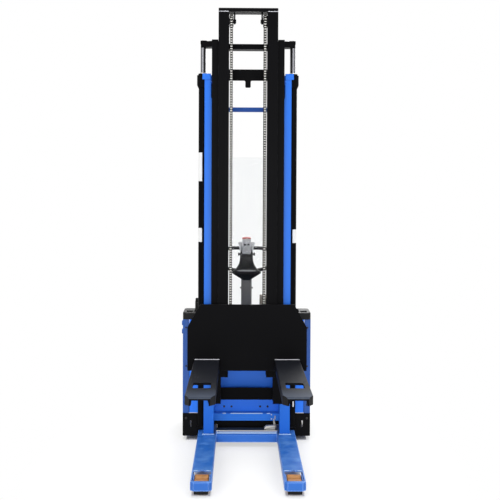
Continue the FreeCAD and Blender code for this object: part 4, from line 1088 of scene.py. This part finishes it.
def build_head_shell():
    """Black head: a bell that swells forward to its rim, the bowl below it, two grips, and
    the collar, a pale rim strip that paints a reflection, and the inset of its front."""
    head = Span("tiller_head")
    front, low = head.front, head.low
    levels = (  # height above the chin, half width, set back of the front, corner radius
        (0.240, 0.044, 0.026, 0.009), (0.180, 0.046, 0.026, 0.010), (0.142, 0.049, 0.025, 0.011),
        (0.122, 0.055, 0.022, 0.012), (0.106, 0.064, 0.016, 0.013), (0.092, 0.074, 0.010, 0.013),
        (0.080, 0.087, 0.004, 0.012), (0.073, 0.098, 0.001, 0.010), (0.066, 0.104, 0.000, 0.010),
        (0.058, 0.103, 0.000, 0.012), (0.046, 0.086, 0.001, 0.012), (0.030, 0.060, 0.003, 0.012),
        (0.016, 0.038, 0.006, 0.011), (0.008, 0.028, 0.007, 0.010),
    )
    body = loft([(low + z, half, front + inset, head.back - 0.004, radius)
                 for z, half, inset, radius in levels])
    piece("head_body", body, "head_plastic", "tiller", ("tiller_head",), 60.0)
    path = ((0.02, 0.234), (0.06, 0.238), (0.11, 0.236), (0.15, 0.228), (0.168, 0.214),
            (0.174, 0.190), (0.173, 0.150), (0.169, 0.118), (0.158, 0.100), (0.13, 0.088),
            (0.095, 0.080), (0.06, 0.074), (0.02, 0.066))
    grips = [swept(eased([(side * x, low + z) for x, z in path]), front + 0.05, 0.013, 0.016)
             for side in (-1, 1)]
    piece("head_grips", grips, "head_plastic", "tiller")
    collar = rounded_plate([(-0.036, 0.0, 0.006), (0.04, 0.0, 0.006), (0.043, 0.022, 0.003),
                            (-0.04, 0.022, 0.003)], 0.014, 0.003)
    piece("head_collar", moved(collar, 0, front + 0.022, low + 0.176), "collar_plastic", "tiller")
    # Pale strip along the front rim: a painted reflection
    half = 0.074
    places = (-half, -0.06, -0.04, -0.02, 0.0, 0.02, 0.04, 0.06, half)
    bulge = {x: math.sqrt(max(0.0, 1 - (x / half) ** 2)) for x in places}
    outline = [(x, 0.0105 * bulge[x] - 0.004) for x in places]
    outline += [(x, -0.0045 * bulge[x] - 0.004) for x in places[-2:0:-1]]
    rim = turned(sheet_metal(outline, 0.008, 0.0015), -32, "X",
                 (0.002, front + 0.0065, low + 0.077))
    piece("head_rim", rim, "reflection_plastic", "tiller", sharp=70.0)
    inset = rounded_plate([(-0.018, 0.0, 0.003), (0.026, 0.0, 0.003), (0.024, 0.013, 0.003),
                           (-0.022, 0.013, 0.003)], 0.006, 0.0012, 1)
    inset = turned(inset, -24, "X", (0.002, front + 0.0185, low + 0.104))
    piece("head_inset", inset, "dark_plastic", "tiller")


def build_tiller_head():
    """Light cover with its paddles and buttons, the top button and the side studs."""
    y = Span("tiller_arm").middle.y
    controls = Span("tiller_controls")
    base = controls.low
    cover = rounded_plate([(-0.031, -0.043, 0.004), (0.031, -0.043, 0.004),
                           (0.0305, 0.062, 0.003), (-0.0305, 0.062, 0.003)], 0.07, 0.005)
    piece("tiller_cover", moved(cover, 0, y + 0.002, base), "grey_plastic", "tiller",
          ("tiller_controls",))
    top = rounded_plate([(-0.0315, 0.0, 0.002), (0.0315, 0.0, 0.002), (0.0305, 0.011, 0.006),
                         (0.0, 0.0155, 0.02), (-0.0305, 0.011, 0.006)], 0.06, 0.003)
    piece("reverse_button", moved(top, 0, y + 0.002, base + 0.0615), "red_button", "tiller")
    paddle = ((0.033, 0.012, 0.002), (0.038, -0.034, 0.004), (0.046, -0.036, 0.004),
              (0.051, -0.006, 0.012), (0.06, 0.03, 0.006), (0.0555, 0.037, 0.005),
              (0.034, 0.038, 0.004))
    buttons, paddles, studs = [], [], []
    for side in (-1, 1):
        button = lathe([(0, 0), (0.0078, 0), (0.0074, 0.003), (0.006, 0.0042), (0, 0.0046)], 20)
        buttons.append(facing(button, FRONT, (side * 0.0125 + 0.001, controls.front + 0.0015,
                                              base + 0.023)))
        corners = [(side * x, z, radius) for x, z, radius in paddle]
        paddles.append(moved(rounded_plate(corners, 0.03, 0.004), 0, y - 0.008, base + 0.004))
        stud = lathe([(0, 0), (0.006, 0), (0.006, 0.007), (0.0115, 0.008), (0.0115, 0.016),
                      (0.0095, 0.018), (0, 0.018)], 20)
        studs.append(facing(stud, (side, 0, 0), (side * 0.043, y - 0.006, base - 0.047)))
    piece("cover_buttons", buttons, "dark_plastic", "tiller")
    piece("paddle_switches", paddles, "grey_plastic", "tiller")
    piece("head_studs", studs, "dark_plastic", "tiller")


def build_cover_details():
    """Knobs of the left cover, screws of covers, hood and skirts, lips and seams."""
    covers = Span("side_covers")
    knobs = []
    for z in (0.784, 0.728):
        knob = lathe([(0, -0.004), (0.017, -0.004), (0.017, 0.0035), (0.014, 0.0062),
                      (0, 0.0066)], 28)
        knobs.append(facing(knob, (-1, 0, 0), (covers.left, MAST_Y + 0.2, z)))
    piece("cover_knobs", knobs, "blue_cover")
    skirts = Span("skirts")
    hood = Span("rear_hood")
    # How deep the heads on the sides are sunk
    sunk, bolt_sunk = 0.0025, 0.0045
    cover_rows, hood_rows, bolt_rows, lips, seams = [], [], [], [], []
    for side in (-1, 1):
        cover_rows += [((side * 0.407, covers.front, z), FRONT) for z in (0.235, 0.496, 0.755)]
        hood_rows += [((side * (hood.right - 0.03), hood.back, z), BACK)
                      for z in (0.31, 0.415, 0.52)]
        bolt_rows.append(((side * 0.406, skirts.front, 0.145), FRONT))
        lips.append(block((0.058, 0.003, 0.005), (side * 0.358, covers.front - 0.0008,
                                                  skirts.top + 0.0015), 0.001))
        seams.append(block((0.0035, 0.002, 0.2), (side * 0.386, covers.front - 0.0004,
                                                  covers.low + 0.106), 0.0006))
    for side in (-1, 1):
        way = (side, 0.0, 0.0)
        cover_rows += [((side * (covers.right - sunk), y, z), way)
                       for y in (covers.front + 0.05, covers.back - 0.04) for z in (0.22, 0.77)]
        bolt_rows += [((side * (skirts.right - bolt_sunk), skirts.front + y, 0.15), way)
                      for y in (0.1, 0.3, 0.48)]
    fasteners("cover_screws", SOCKET_SCREW, cover_rows, "dark_steel")
    fasteners("hood_screws", SOCKET_SCREW, hood_rows, "dark_steel", size=1.2)
    fasteners("skirt_bolts", HEX_BOLT, bolt_rows, "dark_steel", size=0.8)
    piece("cover_lips", lips, "pale_plate")
    piece("cover_seams", seams, "dark_plastic")


def build_foot_details():
    """Sender block on the plate between the legs, and small fittings of the low tie."""
    plate = Span("gap_plate")
    sender = rounded_plate([(0.0, -0.001, 0.001), (0.074, -0.001, 0.001), (0.074, 0.026, 0.003),
                            (0.012, 0.024, 0.01), (0.0, 0.012, 0.004)], 0.036, 0.004)
    piece("sender_block", moved(sender, 0.116, plate.front + 0.03, plate.top), "pale_plate")
    ties = Span("outer_mast_ties")
    gusset = rounded_plate([(0.0, 0.0, 0.001), (0.022, 0.0, 0.001), (0.006, 0.062, 0.002),
                            (0.0, 0.062, 0.002)], 0.008, 0.001, 1)
    piece("plate_gusset", moved(gusset, 0.178, ties.front - 0.0037, ties.low - 0.049),
          "pale_plate")
    plugs = [facing(lathe([(0, -0.001), (0.0045, -0.001), (0.0045, 0.002), (0.003, 0.003),
                           (0, 0.003)], 16), FRONT, (0.1657, ties.front, z))
             for z in (0.186, 0.157)]
    piece("tie_plugs", plugs, "label")
    tab = block((0.006, 0.004, 0.024), (0.1895, ties.front - 0.001, 0.166), 0.001)
    piece("tie_tab", tab, "grey_plastic")


def washers(wheel, *profile):
    """A turned ring on each side of a wheel."""
    return [facing(lathe(profile, 32), (way, 0, 0), (x, wheel.middle.y, wheel.middle.z))
            for way, x in ((-1, wheel.left), (1, wheel.right))]


def build_wheel_details():
    """Side plates and bearings of the load rollers, dark flaps in front of them that paint their
    shade, caster hubs and axle nuts.
    """
    axles = Span("leg_axles")
    legs = Span("leg_right")
    rollers = Span("load_roller_right_front")
    corners = ((-0.092, 0.0, 0.008), (0.094, 0.0, 0.008), (0.094, 0.034, 0.014),
               (0.07, 0.043, 0.012), (-0.07, 0.043, 0.012), (-0.092, 0.034, 0.014))
    beside = 0.0075
    cheeks = [turned(rounded_plate(corners, 0.006, 0.001, 1), 90, "Z",
                     (side * x, axles.middle.y, 0.028))
              for x in (rollers.left - beside, rollers.right + beside) for side in (-1, 1)]
    piece("roller_cheeks", cheeks, "blue_paint")
    # Dark flaps under the leg tips: painted shade of the rollers
    shade_flaps = [block((0.08, 0.004, 0.026), (side * rollers.middle.x, legs.front + 0.016, 0.023),
                    0.0015) for side in (-1, 1)]
    piece("toe_guards", shade_flaps, "black_plastic")
    for side in SIDES:
        for end in ENDS:
            node = f"load_roller_{side}_{end}"
            rings = washers(Span(node), (0.0105, -0.0006), (0.019, -0.0006), (0.019, 0.0008),
                            (0.018, 0.0014), (0.0115, 0.0014), (0.0105, 0.0006),
                            (0.0105, -0.0006))
            piece(f"roller_bearings_{side}_{end}", rings, "bare_steel", node)
        node = f"caster_wheel_{side}"
        wheel = Span(node)
        rings = washers(wheel, (0.0125, -0.001), (0.024, -0.001), (0.024, 0.001),
                        (0.0225, 0.002), (0.0135, 0.002), (0.0125, 0.001), (0.0125, -0.001))
        piece(f"caster_hub_{side}", rings, "bare_steel", node)
        fork = Span(f"caster_fork_{side}")
        rows = [((x, wheel.middle.y, wheel.middle.z), (way, 0.0, 0.0))
                for way, x in ((-1.0, fork.left), (1.0, fork.right))]
        fasteners(f"caster_nuts_{side}", HEX_BOLT, rows, "zinc", f"caster_{side}", 0.9)


def build_meter_details():
    """Charge gauge and key switch on the meter box."""
    box = Span("meter_box")
    slope = (0, 0.94, 0.34)
    y = box.back - 0.006
    z = box.top - 0.045
    gauge = lathe([(0, -0.004), (0.026, -0.004), (0.026, 0.003), (0.0235, 0.005),
                   (0.0215, 0.0035), (0, 0.0035)], 40)
    piece("charge_gauge", facing(gauge, slope, (box.middle.x - 0.045, y, z)), "dark_plastic")
    switch = lathe([(0, -0.004), (0.012, -0.004), (0.012, 0.004), (0.0105, 0.006), (0.008, 0.0065),
                    (0.0075, 0.004), (0, 0.004)], 28)
    key = block((0.003, 0.018, 0.016), (0, 0, 0.014), 0.001)
    lock = facing(joined("lock", [switch, key]), slope, (box.middle.x + 0.012, y, z))
    piece("key_switch", lock, "bare_steel")


build_chains()
build_mast_fasteners()
build_welds()
build_rod_heads()
build_labels()
build_tiller_head()
build_head_shell()
build_cover_details()
build_foot_details()
build_wheel_details()
build_meter_details()

for thing in templates:
    mesh = thing.data
    bpy.data.objects.remove(thing)
    bpy.data.meshes.remove(mesh)


# Stage, light and camera

def build_camera():
    """Camera at the photograph's place: where it stands, how it is turned, and its lens."""
    place = Vector((-0.0594, MAST_Y - 6.1616, 1.7140))
    yaw, pitch, roll = -0.0122, 0.0278, 0.0045
    focal_px, centre_row, picture_px = 947.28, 211.25, 500.0
    data = bpy.data.cameras.new("camera")
    data.sensor_width = 36.0
    data.lens = focal_px / picture_px * data.sensor_width
    data.shift_y = (centre_row - picture_px / 2) / picture_px
    data.clip_end = 100.0
    camera = shown("camera", data)
    turn = (Matrix.Rotation(yaw, 4, "Z") @ Matrix.Rotation(math.pi / 2 - pitch, 4, "X")
            @ Matrix.Rotation(roll, 4, "Z"))
    camera.matrix_world = Matrix.Translation(place) @ turn
    bpy.context.scene.camera = camera


def seen_directly(tree):
    """1 on camera rays and on those that a mirror or glass sends on, and 0 on the rest."""
    path = add_node(tree, "LightPath")
    mirrored = math_node(tree, "MAXIMUM", path.outputs["Is Glossy Ray"],
                         path.outputs["Is Transmission Ray"])
    return math_node(tree, "MAXIMUM", path.outputs["Is Camera Ray"], mirrored)


# Share of the world's white that lights the machine, and of the floor's near it
ROOM_LIGHT = 0.52
NEAR_FLOOR = 0.55


def within(tree, value, low, high):
    """1 where a value lies between two limits."""
    return math_node(tree, "COMPARE", value, (low + high) / 2, (high - low) / 2)


def build_world():
    """White to the camera, to metal and to glass, and a soft grey light for the rest."""
    world = bpy.data.worlds.new("studio")
    bpy.context.scene.world = world
    world.use_nodes = True
    tree = world.node_tree
    tree.nodes.clear()
    background = add_node(tree, "Background", {
        "Color": (1.0, 1.0, 1.0, 1.0), "Strength": raised(tree, seen_directly(tree), ROOM_LIGHT)})
    output = add_node(tree, "OutputWorld")
    tree.links.new(background.outputs[0], output.inputs["Surface"])


def build_floor():
    """Pale floor with a soft shadow near the machine, plain white to the camera farther out."""
    mesh = bpy.data.meshes.new("floor")
    half = 14.0
    mesh.from_pydata([(-half, -half, 0), (half, -half, 0), (half, half, 0), (-half, half, 0)],
                     [], [(0, 1, 2, 3)])
    floor = shown("floor", mesh)
    material = bpy.data.materials.new("floor")
    material.use_nodes = True
    tree = material.node_tree
    tree.nodes.clear()
    place = add_node(tree, "TexCoord").outputs["Object"]
    near, far = 0.55, 1.35
    distance = add_node(tree, "VectorMath", operation="LENGTH")
    feed(tree, stretch(tree, place, (1.0, 0.62, 1.0)), distance.inputs[0])
    share = raised(tree, ramp(tree, distance.outputs["Value"], near, far), NEAR_FLOOR)
    # Right under the legs and the body the floor keeps its own shade
    axes = coordinates(tree, place)
    wide = math_node(tree, "ABSOLUTE", axes["X"])
    legs = Span("leg_right")
    body = Span("base_frame")
    under = [product(tree, within(tree, wide, left, right), within(tree, axes["Y"], front, back))
             for left, right, front, back in (
                 (legs.left + 0.006, legs.right - 0.006, legs.front + 0.02, legs.back - 0.02),
                 (-body.right, body.right, body.front + 0.03, body.back - 0.03))]
    free = math_node(tree, "SUBTRACT", 1.0, math_node(tree, "MAXIMUM", *under))
    share = product(tree, share, free)
    matt = add_node(tree, "BsdfDiffuse", {"Color": (0.86, 0.86, 0.86, 1.0)})
    glow = add_node(tree, "Emission", {"Strength": 1.0})
    mixed = add_node(tree, "MixShader")
    feed(tree, product(tree, seen_directly(tree), share), mixed.inputs[0])
    tree.links.new(matt.outputs[0], mixed.inputs[1])
    tree.links.new(glow.outputs[0], mixed.inputs[2])
    output = add_node(tree, "OutputMaterial")
    tree.links.new(mixed.outputs[0], output.inputs["Surface"])
    mesh.materials.append(material)


def build_lamp(name, place, target, size, power):
    """Rectangular lamp that faces its target."""
    data = bpy.data.lights.new(name, "AREA")
    data.shape = "RECTANGLE"
    data.size, data.size_y = size
    data.energy = power
    lamp = shown(name, data)
    place = Vector(place)
    turn = (Vector(target) - place).to_track_quat("-Z", "Y").to_matrix().to_4x4()
    lamp.matrix_world = Matrix.Translation(place) @ turn


LAMPS = (
    # name, place, target, size, watts
    ("front_left", (-3.2, -4.6, 4.2), (0.0, 0.2, 1.2), (2.6, 3.2), 94.0),
    ("front_right", (3.4, -4.2, 3.6), (0.0, 0.2, 1.2), (2.2, 3.2), 70.0),
    ("overhead", (0.0, 0.4, 5.6), (0.0, 0.0, 0.0), (4.0, 4.0), 320.0),
    ("low_front", (-0.3, -8.0, 1.3), (0.0, 0.2, 0.6), (5.0, 1.6), 215.0),
    ("behind", (1.2, 4.6, 3.6), (0.0, 0.2, 1.2), (3.0, 2.6), 130.0),
)

build_camera()
build_world()
build_floor()
for lamp in LAMPS:
    build_lamp(*lamp)

bpy.context.scene.view_settings.view_transform = "Standard"
